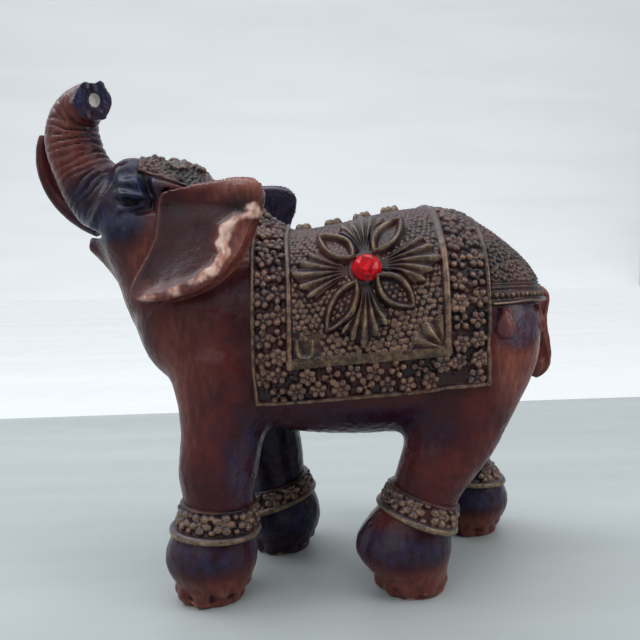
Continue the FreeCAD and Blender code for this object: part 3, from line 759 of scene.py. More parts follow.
def make_saddle(field):
    """The saddle cloth's relief, and which points belong to which piece."""
    xs = np.linspace(CLOTH_FRONT, CLOTH_REAR, steps_over(CLOTH_REAR - CLOTH_FRONT))
    cloth = Cloth(field, xs, CLOTH_CORE, cloth_low, steps_over(CLOTH_GIRTH))
    x = cloth.places[..., 0]
    e_front, e_rear, e_low = x - CLOTH_FRONT, CLOTH_REAR - x, cloth.edge
    e = np.minimum.reduce([e_front, e_rear, e_low])
    inner = {"front": e_front - BORDER["front"], "rear": e_rear - BORDER["rear"],
             "low": e_low - BORDER["low"]}
    depth = np.minimum.reduce(list(inner.values()))
    in_rib = np.zeros(x.shape, bool)
    rib = np.zeros(x.shape)
    for key, d in inner.items():
        width = RIB[key]
        on = (d >= 0) & (d <= width) & (depth >= 0)
        in_rib |= on
        rib = np.where(on, np.maximum(rib, ridge(d, width / 2, width / 2)), rib)
    in_field = (depth > 0) & ~in_rib
    in_border = (e > PIPE) & (depth <= 0)
    in_pipe = e <= PIPE
    places = cloth.places
    lift = CLOTH_THICK + 0.06 * grid_noise(places, 1.6, 3)

    # Field of beads, finer towards the spine
    field_front, field_rear = CLOTH_FRONT + BORDER["front"], CLOTH_REAR - BORDER["rear"]
    centres, radii = bead_places(cloth, (field_front, field_rear), field_bead_pitch, 7)
    beads = np.zeros(x.shape)
    beads[in_field] = bead_lift(places[in_field], centres, radii, 0.85)
    lift += beads

    # Border: flowers with small beads between
    floor = CLOTH_THICK - BORDER_SINK
    lift[in_border] = floor + 0.05 * noise(places[in_border], 0.9, 9)
    petals = np.zeros(x.shape)
    rng = np.random.default_rng(5)
    for side in (-1, 1):
        for spot_x, spot_run in border_spots(cloth, side):
            jitter = rng.uniform(-FLOWER_JITTER, FLOWER_JITTER, 2)
            centre, normal = cloth.spot(spot_x + jitter[0], spot_run + jitter[1])
            size = rng.uniform(*FLOWER_SIZE)
            count = int(rng.choice(PETAL_COUNTS))
            height, turn = rng.uniform(0.7, 1.0), rng.uniform(0, 6.28)
            flower(petals, places, centre, normal, size, height, 0.05, turn, count)
            for _ in range(2):
                angle = rng.uniform(0, 6.28)
                far = rng.uniform(2.1, 2.5)
                centre, _ = cloth.spot(spot_x + far * math.cos(angle),
                                       spot_run + far * math.sin(angle))
                dome(petals, places, centre, rng.uniform(0.35, 0.55), 0.5, 0.05)
    lift += np.where(in_border, petals, 0)

    # Piping and ribs
    rough = 0.05 * grid_noise(places, 0.8, 13)
    low_rib = in_rib & (inner["low"] <= RIB["low"])
    low_rib &= (inner["front"] > RIB["front"]) & (inner["rear"] > RIB["rear"])
    height = np.where(low_rib, 0.35 + 0.25 * rib, 0.85 * rib)
    lift = np.where(in_rib, CLOTH_THICK + 0.1 + height + rough, lift)
    lift = np.where(in_pipe, CLOTH_THICK - 0.1 + 0.75 * ridge(e, 0.5, 0.55) + rough, lift)

    # Leaves in the lower corners of the field, and a row of small flowers on the spine
    corner = np.zeros(x.shape)
    for side in (-1, 1):
        for shape, cx, up in ((loop_leaf, field_front + 3.3, 3.6),
                              (fan_leaf, field_rear - 3.4, 4.2)):
            centre, _ = cloth.spot(cx, side * (cloth.reach_at(cx, side) - BORDER["low"] - up))
            away = places - centre
            near = (away**2).sum(-1) < LEAF_REACH**2
            height = shape(away[near][:, 0], away[near][:, 2])
            corner[near] = np.maximum(corner[near], height)
    for cx in STUD_PLACES:
        flower(corner, places, *cloth.spot(cx, 0.0), 1.9, 1.25, 0.3, cx)
    on_corner = (corner > 0.12) & in_field
    lift = np.where(on_corner, CLOTH_THICK + corner, lift)

    raised = np.clip((lift - floor) / 0.85, 0, 1)
    raised = np.where(in_field, np.clip(beads / 0.46, 0, 1), raised)
    raised = np.where(on_corner, np.clip(0.45 + 0.6 * corner, 0, 1), raised)
    raised = np.where(in_rib, np.where(low_rib, 0.80, np.clip(rib, 0, 1)), raised)
    gilt = np.where(low_rib | on_corner, 1.0, np.where(in_rib | in_pipe, 0.45, 0.0))
    marks = {"raised": raised, "gilt": gilt}
    left = cloth.runs < 0
    lift = turned_down(lift)
    pieces = {
        "outer_piping": in_pipe,
        "inner_piping": in_rib,
        "border_flowers_left": in_border & left,
        "border_flowers_right": in_border & ~left,
        "beaded_field_left": in_field & ~on_corner & left,
        "beaded_field_right": in_field & ~on_corner & ~left,
        "corner_leaves": on_corner & (np.abs(cloth.runs) > 4),
        "spine_studs": on_corner & (np.abs(cloth.runs) <= 4),
    }
    return cloth, Relief(cloth.places, cloth.normals, lift, marks), pieces


def turned_down(lift):
    """The same relief with its outermost points sunk, so that the rim is rounded off."""
    lift = lift.copy()
    for edge, inner in ((np.s_[0, :], np.s_[1, :]), (np.s_[-1, :], np.s_[-2, :]),
                        (np.s_[:, 0], np.s_[:, 1]), (np.s_[:, -1], np.s_[:, -2])):
        lift[edge] = -0.3
        lift[inner] = np.minimum(lift[inner], 0.35)
    return lift


# ---- Rosette and stone --------------------------------------------------------------------

def fan_height(r, a):
    """One ribbed shell: r out from the stone, a the angle off its middle."""
    share = np.clip((r - 2.6) / 10.0, 0, 1.3)
    spread = np.radians(15 + 19 * np.minimum(share, 1))
    q = a / spread
    ribs = 0.5 + 0.5 * np.cos(q * math.pi * 6.0)
    middle_long = bell(q, 0.28)
    rim = 11.6 + 0.9 * ribs - 1.8 * q * q + 1.5 * middle_long
    body = 0.22 + 0.55 * np.sin(np.clip(share, 0, 1) ** 1.1 * math.pi * 0.75)
    h = body + 0.72 * ribs ** 0.8 * smooth_step(0.05, 0.4, share) * (0.6 + 0.4 * share)
    edge = smooth_step(0, 0.8, rim - r) * smooth_step(0, 0.15, 1 - np.abs(q))
    return np.where((r < rim) & (np.abs(q) < 1) & (r > 2.4), h * edge + 0.1, 0)


def petal_height(r, a):
    """One open petal: a thick raised rim round a hollow."""
    along, across = r * np.cos(a), r * np.sin(a)
    share = np.clip((along - 2.9) / 8.9, 0, 1)
    half = 2.15 * np.sin(math.pi * share**0.9) ** 0.8
    d = np.abs(across) - half
    rim = (1.75 - 0.3 * share) * bell(d + 0.2, 0.72)
    hollow = np.where(d < 0, 0.25, 0)
    h = np.maximum(rim, hollow)
    inside = (along > 2.6) & (along < 12.1) & (d < 0.85)
    return np.where(inside, h, 0)


ROSETTE_INNER, ROSETTE_OUTER, ROSETTE_EDGE = 2.2, 13.2, 13.4    # radii; the edge is sunk
ROSETTE_TURN = -4               # of the first fan from the rear, in degrees
PETAL_TURNS = (4, -4, 6, -2)    # of each petal from midway between two fans, in degrees


def off_angle(a, degrees):
    """Angles measured from this one, within half a turn."""
    return (a - math.radians(degrees) + math.pi) % (2 * math.pi) - math.pi


def make_rosette(cloth, side, name):
    """Four ribbed fans and four open petals round the stone; also the way the stone faces."""
    centre = node_centre("stone_" + name)
    i = int(np.argmin(np.abs(cloth.xs - centre[0])))
    j = int(np.argmin(((cloth.places[i] + cloth.normals[i] - centre) ** 2).sum(1)))
    run0 = cloth.runs[i, j]
    radii = np.linspace(ROSETTE_INNER, ROSETTE_OUTER, int(11 / (FINE * 0.75)))
    radii = np.append(radii, ROSETTE_EDGE)
    count = int(720 * 0.16 / FINE)
    angles = np.linspace(0, 2 * math.pi, count, endpoint=False)
    r, a = np.meshgrid(radii, angles, indexing="ij")
    x = centre[0] + r * np.cos(a)
    run = run0 - side * r * np.sin(a)
    places, normals = cloth.at(x, run)
    h = np.zeros(r.shape)
    for k in range(4):
        h = np.maximum(h, fan_height(r, off_angle(a, 90 * k + ROSETTE_TURN)))
    for k in range(4):
        petal = petal_height(r, off_angle(a, 90 * k + 45 + PETAL_TURNS[k]))
        h = np.where(petal > 0.3, np.maximum(petal, h * (petal > 0.55)), np.maximum(h, petal))
    h = np.maximum(h, 0.75 * smooth_step(3.5, 2.9, r))
    h += 0.05 * grid_noise(places, 0.7, 23) * (h > 0.2)
    lift = np.where(h > 0.12, CLOTH_THICK + 0.12 + h, CLOTH_THICK - 0.5)
    lift[0, :] = 0.4
    lift[-1, :] = 0.0
    marks = {"raised": np.clip((h - 0.25) / 1.25, 0, 1), "gilt": np.full(h.shape, 0.85)}
    relief = Relief(places, normals, lift, marks, closed=True)
    shown = h > 0.12
    shown = (shown | np.roll(shown, 1, 0) | np.roll(shown, -1, 0)
             | np.roll(shown, 1, 1) | np.roll(shown, -1, 1))
    shown[-1, :] = False
    return relief.piece("rosette_" + name + "_relief", shown), cloth.spot(centre[0], run0)[1]


def node_centre(node):
    """Middle of a CAD node's box."""
    low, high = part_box(node)
    return np.array([(a + b) / 2 * MM for a, b in zip(low, high)]) - ORIGIN


# Rings of the stone's corners: count, radius, height above its middle, turn in steps
STONE_RINGS = ((16, 2.62, -1.1, 0), (16, 2.7, -0.45, 0), (8, 2.15, 0.55, 0.5), (8, 1.35, 1.05, 0))


def make_stone(name, out):
    """A foil-backed stone: table, two rows of crown facets and a thin girdle."""
    centre = node_centre("stone_" + name)
    across = unit(np.cross(out, (0.0, 0.0, 1.0)))
    up = np.cross(across, out)
    sheet = bmesh.new()
    for count, radius, height, turn in STONE_RINGS:
        for k in range(count):
            angle = 2 * math.pi * (k + turn) / count
            way = across * math.cos(angle) + up * math.sin(angle)
            sheet.verts.new(to_row(centre + way * radius + out * height))
    bmesh.ops.convex_hull(sheet, input=sheet.verts)
    mesh = bpy.data.meshes.new("stone_" + name)
    sheet.to_mesh(mesh)
    sheet.free()
    # Painted reflections: a random brightness for each facet
    tone = mesh.attributes.new("facet", "FLOAT", "FACE")
    rng = np.random.default_rng(3)
    tone.data.foreach_set("value", rng.uniform(0, 1, len(mesh.polygons)).astype(np.float32))
    return in_scene("stone_" + name + "_cut", mesh)


# ---- Rump cloth, head cap and anklets -----------------------------------------------------

FAN_SWEEP, FAN_RAYS = 1.9, 260      # of one row's rays: radians down from straight up, count


def fan_patch(field, centre, turns, low, rows):
    """A patch from the top above `centre` down to the height `low`, one row for each turn
    about the upright axis, 0 being towards the rear; and each point's distance from its edge."""
    sweep = np.linspace(0.0, FAN_SWEEP, FAN_RAYS)
    starts = np.repeat(np.tile(centre, (len(turns), 1)), len(sweep), axis=0)
    flat = np.stack([np.cos(turns), np.sin(turns), np.zeros_like(turns)], -1)
    ways = (flat[:, None, :] * np.sin(sweep)[None, :, None]
            + np.array([0, 0, 1.0]) * np.cos(sweep)[None, :, None])
    hits = leave(field, starts, ways.reshape(-1, 3)).reshape(len(turns), len(sweep), 3)
    places = np.empty((len(turns), rows, 3))
    edge = np.empty((len(turns), rows))
    share = np.linspace(0.02, 1, rows)
    for i, line in enumerate(hits):
        run = run_along(line)
        below = np.nonzero(line[:, 2] < low)[0]
        end = run[below[0]] if len(below) else run[-1]
        places[i] = places_along(share * end, run, line)
        edge[i] = end - share * end
    return places, edge


MOST_TRIED = 60000      # points of a grid that scattered() looks at


def scattered(places, spacing, seed):
    """Some of these points, picked at random, no two nearer than the spacing."""
    rng = np.random.default_rng(seed)
    order = rng.permutation(len(places))[:MOST_TRIED]
    cells = {}
    kept = []
    for i in order:
        p = places[i]
        key = tuple((p // spacing).astype(int))
        near = False
        for offset in np.ndindex(3, 3, 3):
            beside = tuple(k + o - 1 for k, o in zip(key, offset))
            if any(((p - q) ** 2).sum() < spacing * spacing for q in cells.get(beside, ())):
                near = True
                break
        if not near:
            cells.setdefault(key, []).append(p)
            kept.append(p)
    return np.array(kept)


RUMP_CENTRE = np.array([30.0, 0.0, 56.0])   # inside the body, where the rays to the cloth start
RUMP_LOW = 55.2                             # height of its lower edge
RUMP_GIRTH, RUMP_DROP = 78.0, 25.0      # about its length round the hem and down the rear
HEM = 3.4                               # width of the hem
HEM_BEADS, HEM_BEAD_PITCH = 1.95, 1.32  # height of their row above the edge, and their spacing


def make_rump(field):
    """The rump cloth's relief: fine beads, and a hem with a row of larger ones."""
    turns = np.radians(np.linspace(-90, 90, steps_over(RUMP_GIRTH)))
    places, e = fan_patch(field, RUMP_CENTRE, turns, RUMP_LOW, steps_over(RUMP_DROP))
    lift = 0.85 + 0.05 * grid_noise(places, 1.2, 3)
    in_field = e > HEM + 0.9
    centres = scattered(places[in_field], 0.74, 11)
    lift[in_field] += bead_lift(places[in_field], centres, np.full(len(centres), 0.5), 1.0)
    # Hem: a rolled lower edge, a row of beads and two cords above it
    band = ~in_field
    hem = 0.85 + 0.05 * grid_noise(places, 0.8, 19)
    hem = np.maximum(hem, 0.7 + 0.75 * ridge(e, 0.45, 0.5))
    hem = np.maximum(hem, 0.7 + 0.55 * ridge(e, HEM - 0.1, 0.28))
    hem = np.maximum(hem, 0.7 + 0.50 * ridge(e, HEM + 0.55, 0.26))
    middle = np.argmin(np.abs(e - HEM_BEADS), axis=1)
    line = places[np.arange(len(turns)), middle]
    run = run_along(line)
    row = np.zeros(e.shape)
    for along in np.arange(0.8, run[-1], HEM_BEAD_PITCH):
        dome(row, places, places_along(along, run, line), 0.62, 0.62)
    hem = np.maximum(hem, 0.8 + row)
    lift = np.where(band, hem, lift)
    lift[:, -1] = -0.3
    lift[:, -2] = 0.3
    raised = np.clip((lift - 0.8) / 0.6, 0, 1)
    marks = {"raised": raised, "gilt": np.where(band, 0.35, 0.0)}
    relief = Relief(places, grid_slope(field, places), lift, marks)
    return relief, {"rump_cloth": in_field, "rump_hem": band}


CAP_FRONT, CAP_REAR = -34.2, -21.2      # the head cap's edges in x
CAP_CORE, CAP_GIRTH = 72.0, 34.0        # as the saddle cloth's
# Flowers on the cap: x, run from the top and size
CAP_FLOWERS = (
    (-27.4, 0.0, 2.6), (-27.2, -6.2, 1.9), (-27.2, 6.2, 1.9), (-31.3, -3.4, 1.5),
    (-31.3, 3.4, 1.5), (-23.6, -3.6, 1.5), (-23.6, 3.6, 1.5),
)


def cap_low(x):
    """Height of the cap's lower edges."""
    return 81.4 - 4.6 * (x - CAP_FRONT) / (CAP_REAR - CAP_FRONT)


def make_cap(field):
    """The head cap's relief: beads of uneven size, seven flowers and a rough rim."""
    xs = np.linspace(CAP_FRONT, CAP_REAR, steps_over(CAP_REAR - CAP_FRONT))
    cloth = Cloth(field, xs, CAP_CORE, cap_low, steps_over(CAP_GIRTH))
    places = cloth.places
    flat = places.reshape(-1, 3)
    shape = cloth.runs.shape
    x = places[..., 0]
    e = np.minimum.reduce([x - CAP_FRONT, CAP_REAR - x, cloth.edge])
    lift = 0.40 + 0.35 * grid_noise(places, 2.6, 51) + 0.16 * grid_noise(places, 0.8, 52)
    centres = scattered(flat, 0.85, 12)
    rng = np.random.default_rng(4)
    lift += bead_lift(flat, centres, rng.uniform(0.32, 0.50, len(centres)), 0.85).reshape(shape)
    boss = np.zeros(shape)
    for cx, run, size in CAP_FLOWERS:
        flower(boss, places, *cloth.spot(cx, run), size, 0.6, 0.35, cx)
    boss += 0.22 * grid_noise(places, 0.7, 55)
    lift = np.where(boss > 0.3, 0.45 + boss + 0.08 * grid_noise(places, 0.6, 53), lift)
    rim = ridge(e, 0.5, 0.55) * (0.6 + 0.5 * grid_noise(places, 2.0, 56))
    lift = np.where(e < 1.0, 0.15 + 0.55 * rim + 0.12 * grid_noise(places, 0.8, 54), lift)
    marks = {"raised": np.clip(lift - 0.3, 0, 1), "gilt": np.full(shape, 0.5)}
    crown = (boss > 0.3) & (np.abs(x + 27.4) < 3.2) & (np.abs(cloth.runs) < 3.2)
    relief = Relief(cloth.places, cloth.normals, turned_down(lift), marks)
    return relief, {"head_cap": ~crown, "cap_ornament": crown}


# Middle of each anklet: height, tilt about Y in degrees, and width
ANKLETS = {
    "front_left": (15.6, 2.0, 6.4),
    "front_right": (13.2, -18.0, 5.0),
    "hind_left": (16.4, 20.0, 5.6),
    "hind_right": (14.8, 6.0, 4.8),
}


ANKLET_GIRTH = 52.0             # sets the spacing of the mesh round the leg
ANKLET_FLOWER_PITCH = 4.4


def make_anklet(field, leg, seed):
    """A band of flowers with beads between, a thick cord below and a thin one above."""
    height, tilt, width = ANKLETS[leg]
    low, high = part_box("anklet_" + leg)
    middle = np.array([(low.x + high.x) / 2, (low.y + high.y) / 2, 0]) * MM - ORIGIN
    middle[2] = height
    c, s = math.cos(math.radians(tilt)), math.sin(math.radians(tilt))
    axis, out = np.array([s, 0, c]), np.array([c, 0, -s])
    turns = np.linspace(0, 2 * math.pi, steps_over(ANKLET_GIRTH), endpoint=False)
    steps = np.linspace(-width / 2, width / 2, steps_over(width))
    t, h = np.meshgrid(turns, steps, indexing="ij")
    ways = (out * np.cos(t)[..., None] + np.array([0, 1.0, 0]) * np.sin(t)[..., None])
    starts = middle + axis * h[..., None]
    places = leave(field, starts.reshape(-1, 3), ways.reshape(-1, 3), 14.0).reshape(starts.shape)
    normals = grid_slope(field, places)
    relief = np.zeros(t.shape)
    rng = np.random.default_rng(seed)
    count = round(run_along(places[:, len(steps) // 2])[-1] / ANKLET_FLOWER_PITCH)

    def row(up):
        return int(np.clip((up / width + 0.5) * len(steps), 0, len(steps) - 1))

    for k in range(count):
        i = int((k + rng.uniform(-0.08, 0.08)) / count * len(turns)) % len(turns)
        j = row(0.5)
        flower(relief, places, places[i, j], normals[i, j], 2.15, 0.75, 0.1, rng.uniform(0, 6))
        between = (i + len(turns) // count // 2) % len(turns)
        for up, radius in ((-0.95, 0.675), (1.9, 0.6)):
            dome(relief, places, places[between, row(up)], radius, 0.55, 0.1)
    lift = 0.35 + 0.06 * grid_noise(places, 1.0, seed) + relief
    edge_low, edge_high = h + width / 2, width / 2 - h
    rim = np.maximum(0.95 * ridge(edge_low, 0.75, 0.8), 0.45 * ridge(edge_high, 0.4, 0.42))
    rough = 0.07 * grid_noise(places, 0.9, seed + 5)
    in_rim = (edge_low < 1.5) | (edge_high < 0.8)
    lift = np.where(in_rim, 0.25 + rim + rough, lift)
    lift[:, 0] = lift[:, -1] = -0.3
    marks = {"raised": np.clip((lift - 0.35) / 0.6, 0, 1),
             "gilt": np.where(edge_low < 1.5, 0.95, 0.1)}
    grid = Relief(np.swapaxes(places, 0, 1), np.swapaxes(normals, 0, 1), lift.T,
                  {k: v.T for k, v in marks.items()}, closed=True)
    return grid.piece("anklet_" + leg + "_relief", np.full(lift.size, True))


# ---- Ears, tail, tassels and tusk ---------------------------------------------------------

# Edge of the raised inner part of the left ear, as x and z, from the lobe round to the top
INNER_EDGE = np.array([
    (-32.7, 58.8), (-27.7, 58.8), (-23.2, 60.6), (-20.0, 63.0),
    (-18.0, 65.5), (-18.3, 67.5), (-17.5, 70.0), (-15.1, 71.6), (-12.3, 72.7), (-10.6, 73.2),
])
# Hollows of the ear: a line as x and z, then depth and half width
EAR_HOLLOWS = (
    (np.array([(-30.8, 62.0), (-28.2, 64.5), (-25.6, 66.8), (-24.0, 70.0)]), 0.45, 2.6),
    (np.array([(-27.0, 75.0), (-22.1, 75.0), (-18.0, 74.2), (-15.6, 73.6)]), 0.55, 2.3),
    (np.array([(-27.0, 75.6), (-25.9, 73.0), (-26.4, 70.2), (-28.8, 66.0)]), 0.25, 2.0),
)
RIGHT_EAR_SHIFT = np.array([6.4, 0.0, 2.8])     # of the right ear from the left one's mirror image


def line_distance(x, z, line):
    """How far each place is from the line, below zero on the line's left."""
    best = np.full(x.shape, 1e9)
    side = np.ones(x.shape)
    for (x0, z0), (x1, z1) in zip(line[:-1], line[1:]):
        dx, dz = x1 - x0, z1 - z0
        t = np.clip(((x - x0) * dx + (z - z0) * dz) / (dx * dx + dz * dz), 0, 1)
        away = np.hypot(x - x0 - t * dx, z - z0 - t * dz)
        turn = dx * (z - z0) - dz * (x - x0)
        closer = away < best
        best[closer] = away[closer]
        side[closer] = np.where(turn[closer] > 0, -1, 1)
    return best * side


def ear_relief(points, normals, side):
    """Shape of an ear's outer face, how pale and how warm its paint is, and the painted shade
    inside its raised edge.
    """
    shift = RIGHT_EAR_SHIFT if side > 0 else np.zeros(3)
    x, z = points[:, 0] - shift[0], points[:, 2] - shift[2]
    wave = 0.5 * noise(points, 4.5, 61) + 0.2 * noise(points, 1.6, 63)
    outer = smooth_step(0.05, 0.5, normals[:, 1] * side)
    edge = line_distance(x, z, INNER_EDGE) + wave
    ridge_height = 0.50 * bell(edge, 1.15) - 0.30 * smooth_step(0.6, 2.2, edge)
    hollow = sum(depth * bell(line_distance(x, z, line) + wave, width)
                 for line, depth, width in EAR_HOLLOWS)
    roll = 0.65 * bell(z - 77.2, 1.8) * smooth_step(-27.0, -22.0, x)
    roll += 0.6 * np.exp(-(((x + 14.0) / 3.2) ** 2 + ((z - 75.8) / 2.0) ** 2))
    fold = 0.10 * noise(points * np.array([1.0, 1.0, 0.4]), 2.2, 64)
    lift = (ridge_height - hollow + roll + fold) * smooth_step(-33.5, -30.5, x)
    band = bell(edge - 0.25, 1.15)
    middle = smooth_step(-22.5, -19.5, x) * smooth_step(-14.5, -17.0, x)
    strength = 0.50 + 0.40 * middle + 0.40 * noise(points, 2.2, 62)
    top_patch = np.exp(-(((x + 12.6) / 1.5) ** 2 + ((z - 73.6) / 1.1) ** 2))
    pale = np.maximum(band * strength, 0.8 * top_patch) * outer
    # Painted shade inside the raised edge and under the top roll
    inner = smooth_step(0.2, -3.2, edge) * smooth_step(76.6, 74.0, z)
    inner *= 0.85 + 0.5 * noise(points, 4.0, 65)
    top_corner = smooth_step(-20.0, -14.0, x) * smooth_step(74.0, 75.6, z)
    warm = np.maximum(smooth_step(0.8, 2.0, edge), top_corner)
    return lift * outer, pale, inner * outer, warm * outer


def tassel_relief(points, normals):
    """Soft flutes that run down a hanging piece."""
    flutes = 0.22 * np.cos(4.2 * points[:, 1] + 1.6 * points[:, 0])
    return flutes * smooth_step(0, 1, 1 - np.abs(normals[:, 2]))


def smoothed(points, quads, rounds):
    """Each point moved to the mean of its neighbours, so many times."""
    ends = np.concatenate([quads[:, [k, (k + 1) % 4]] for k in range(4)])
    count = np.maximum(np.bincount(ends[:, 0], minlength=len(points)), 1.0)[:, None]
    for _ in range(rounds):
        points = np.stack([
            np.bincount(ends[:, 0], weights=points[ends[:, 1], axis], minlength=len(points))
            for axis in range(3)], -1) / count
    return points


def region(p, x, z, rx, rz, both):
    """1 inside an ellipse seen from the side, fading outside it; both sides or the left only."""
    d = np.sqrt(((p[:, 0] - x) / rx) ** 2 + ((p[:, 2] - z) / rz) ** 2)
    inside = 1 - smooth_step(0.55, 1.25, d)
    return inside if both else inside * smooth_step(3.0, -3.0, p[:, 1])


# Ellipses seen from the side, for the paint: strength, x, z, half sizes, and whether on both sides
NAVY_REGIONS = (
    (1.1, -34.8, 79.0, 6.5, 6.2, True),         # forehead
    (0.7, 37.0, 52.5, 7.0, 6.0, True),          # hip
    (0.8, -15.5, 27.0, 4.5, 11.0, False),       # rear of the near front leg
    (0.55, 3.0, 33.0, 24.0, 6.0, True),         # belly
)
WARM_REGIONS = (
    (0.65, -31.0, 65.0, 6.0, 6.5, True),        # jaw
    (0.9, -15.0, 75.0, 6.0, 4.0, True),         # top of the ear
    (0.9, -16.0, 68.0, 4.0, 6.0, True),         # rear of the ear
    (0.65, -47.5, 86.0, 5.0, 9.0, True),        # trunk
    (1.0, 39.0, 45.0, 9.0, 12.0, True),         # rump: warm paint, with a painted highlight
    (0.5, -26.0, 45.0, 7.0, 14.0, True),        # chest
)
# Pale dust and painted sheen; on the cheek and below the ear it is a painted highlight
DUST_AND_SHEEN_REGIONS = (
    (1.2, 36.0, 53.0, 6.5, 5.5, True),          # hip
    (0.5, -15.5, 25.0, 3.2, 7.0, False),        # rear of the near front leg
    (0.3, -38.5, 72.5, 5.0, 3.0, True),         # cheek
    (0.5, -17.0, 59.5, 4.5, 3.0, True),         # neck below the ear
)


def regions(p, table):
    """How strongly each of a table's ellipses covers each point."""
    return [strength * region(p, *numbers) for strength, *numbers in table]


def paint_marks(p, normals, cavity, shares):
    """How much navy paint and painted shade, warm paint, and dust and painted sheen the skin has
    at each point, each from 0 to 1, and its hollows and edges.
    """
    none = np.zeros(len(p))
    up = np.clip(normals[:, 2], 0, 1)
    patchy = noise(p, 7.0, 71)
    tip = smooth_step(-1.4, -0.5, (p - TIP) @ TIP_OUT)
    tip *= smooth_step(6.5, 5.5, np.linalg.norm(p - TIP, axis=1))
    before_cheek = smooth_step(-30.5, -33.5, p[:, 0] + 0.25 * (p[:, 2] - 72))
    far_leg = shares.get("leg_front_right", none)
    far_ear = shares.get("ear_right", none)
    # Navy paint; the far ear and the far front leg get it all over as painted shade
    navy_and_shade = np.maximum.reduce([
        region(p, -40.5, 75.0, 10.5, 8.5, True) * before_cheek,
        tip, far_ear, 0.85 * far_leg,
        0.75 * region(p, -43.2, 84.5, 3.4, 10.0, True) * smooth_step(0.1, 0.9, normals[:, 0]),
        0.85 * smooth_step(5.5, 9.0, p[:, 2]) * smooth_step(15.0, 12.0, p[:, 2]),
        *regions(p, NAVY_REGIONS),
    ])
    warm = np.maximum.reduce([
        0.75 * smooth_step(7.5, 4.0, p[:, 2]),
        shares.get("tail", none) * 0.6,
        *regions(p, WARM_REGIONS),
    ])
    # Pale dust and painted sheen: on the trunk's tip, the far ear, the tops of the feet and the
    # ellipses above
    dust_and_sheen = np.maximum.reduce([
        0.45 * tip, 0.35 * far_ear,
        0.18 * smooth_step(7.0, 9.0, p[:, 2]) * smooth_step(13.5, 11.0, p[:, 2]),
        *regions(p, DUST_AND_SHEEN_REGIONS),
    ]) * (0.6 + 0.6 * patchy)
    return {
        "navy_and_shade": np.clip(navy_and_shade * (0.9 + 0.25 * patchy), 0, 1),
        "warm": np.clip(warm * (0.85 + 0.4 * patchy) * (1 - navy_and_shade), 0, 1),
        # Faces that look up get a little more of the dust and painted sheen
        "dust_and_sheen": np.clip(dust_and_sheen + 0.08 * up, 0, 1),
        "cavity": np.clip(cavity, -1, 1),
    }


# ---- Materials ----------------------------------------------------------------------------

class Nodes:
    """A material and short ways to add nodes to it."""

    def __init__(self, name):
        self.material = bpy.data.materials.new(name)
        self.material.use_nodes = True
        self.tree = self.material.node_tree
        self.shader = self.tree.nodes["Principled BSDF"]
        place = self.tree.nodes.new("ShaderNodeTexCoord")
        scale = self.tree.nodes.new("ShaderNodeVectorMath")
        scale.operation = "SCALE"
        scale.inputs["Scale"].default_value = MM
        self.tree.links.new(place.outputs["Object"], scale.inputs[0])
        self.place = scale.outputs[0]

    def link(self, source, target):
        self.tree.links.new(source, target)

    def value(self, name):
        node = self.tree.nodes.new("ShaderNodeAttribute")
        node.attribute_name = name
        return node.outputs["Fac"]

    def noise(self, size, detail=3.0, stretch=None):
        """Noise of this size in millimetres, from 0 to 1."""
        node = self.tree.nodes.new("ShaderNodeTexNoise")
        node.inputs["Scale"].default_value = 1 / size
        node.inputs["Detail"].default_value = detail
        source = self.place
        if stretch:
            turn = self.tree.nodes.new("ShaderNodeMapping")
            turn.inputs["Scale"].default_value = stretch
            self.link(source, turn.inputs["Vector"])
            source = turn.outputs["Vector"]
        self.link(source, node.inputs["Vector"])
        return node.outputs["Fac"]

    def remap(self, source, low, high, to_low=0.0, to_high=1.0):
        node = self.tree.nodes.new("ShaderNodeMapRange")
        node.interpolation_type = "SMOOTHSTEP"
        for key, value in zip(("From Min", "From Max", "To Min", "To Max"),
                              (low, high, to_low, to_high)):
            node.inputs[key].default_value = value
        self.link(source, node.inputs["Value"])
        return node.outputs["Result"]

    def times(self, a, b):
        return self.math("MULTIPLY", a, b)

    def plus(self, a, b):
        return self.math("ADD", a, b)

    def minus(self, a, b):
        return self.math("SUBTRACT", a, b)

    def math(self, kind, a, b):
        node = self.tree.nodes.new("ShaderNodeMath")
        node.operation = kind
        for slot, value in zip(node.inputs, (a, b)):
            if isinstance(value, (int, float)):
                slot.default_value = value
            else:
                self.link(value, slot)
        return node.outputs[0]

    def between(self, source, low, high, a, b):
        """Colour a where the source is low, running to b where it is high."""
        return self.mix(self.remap(source, low, high), a, b)

    def mix(self, share, a, b):
        node = self.tree.nodes.new("ShaderNodeMix")
        node.data_type = "RGBA"
        for key, value in (("Factor", share), ("A", a), ("B", b)):
            if isinstance(value, tuple):
                node.inputs[key].default_value = (*value, 1.0)
            else:
                self.link(value, node.inputs[key])
        return node.outputs["Result"]

    def bump(self, height, depth):
        """Adds fine relief of this depth in millimetres to any that is there already."""
        node = self.tree.nodes.new("ShaderNodeBump")
        node.inputs["Distance"].default_value = depth / MM
        self.link(height, node.inputs["Height"])
        if self.shader.inputs["Normal"].is_linked:
            self.link(self.shader.inputs["Normal"].links[0].from_socket, node.inputs["Normal"])
        self.link(node.outputs["Normal"], self.shader.inputs["Normal"])

    def set(self, **values):
        """Gives the shader's inputs these values or links, and returns the material."""
        for key, value in values.items():
            socket = self.shader.inputs[key.replace("_", " ")]
            if isinstance(value, (int, float, tuple)):
                socket.default_value = value
            else:
                self.link(value, socket)
        return self.material


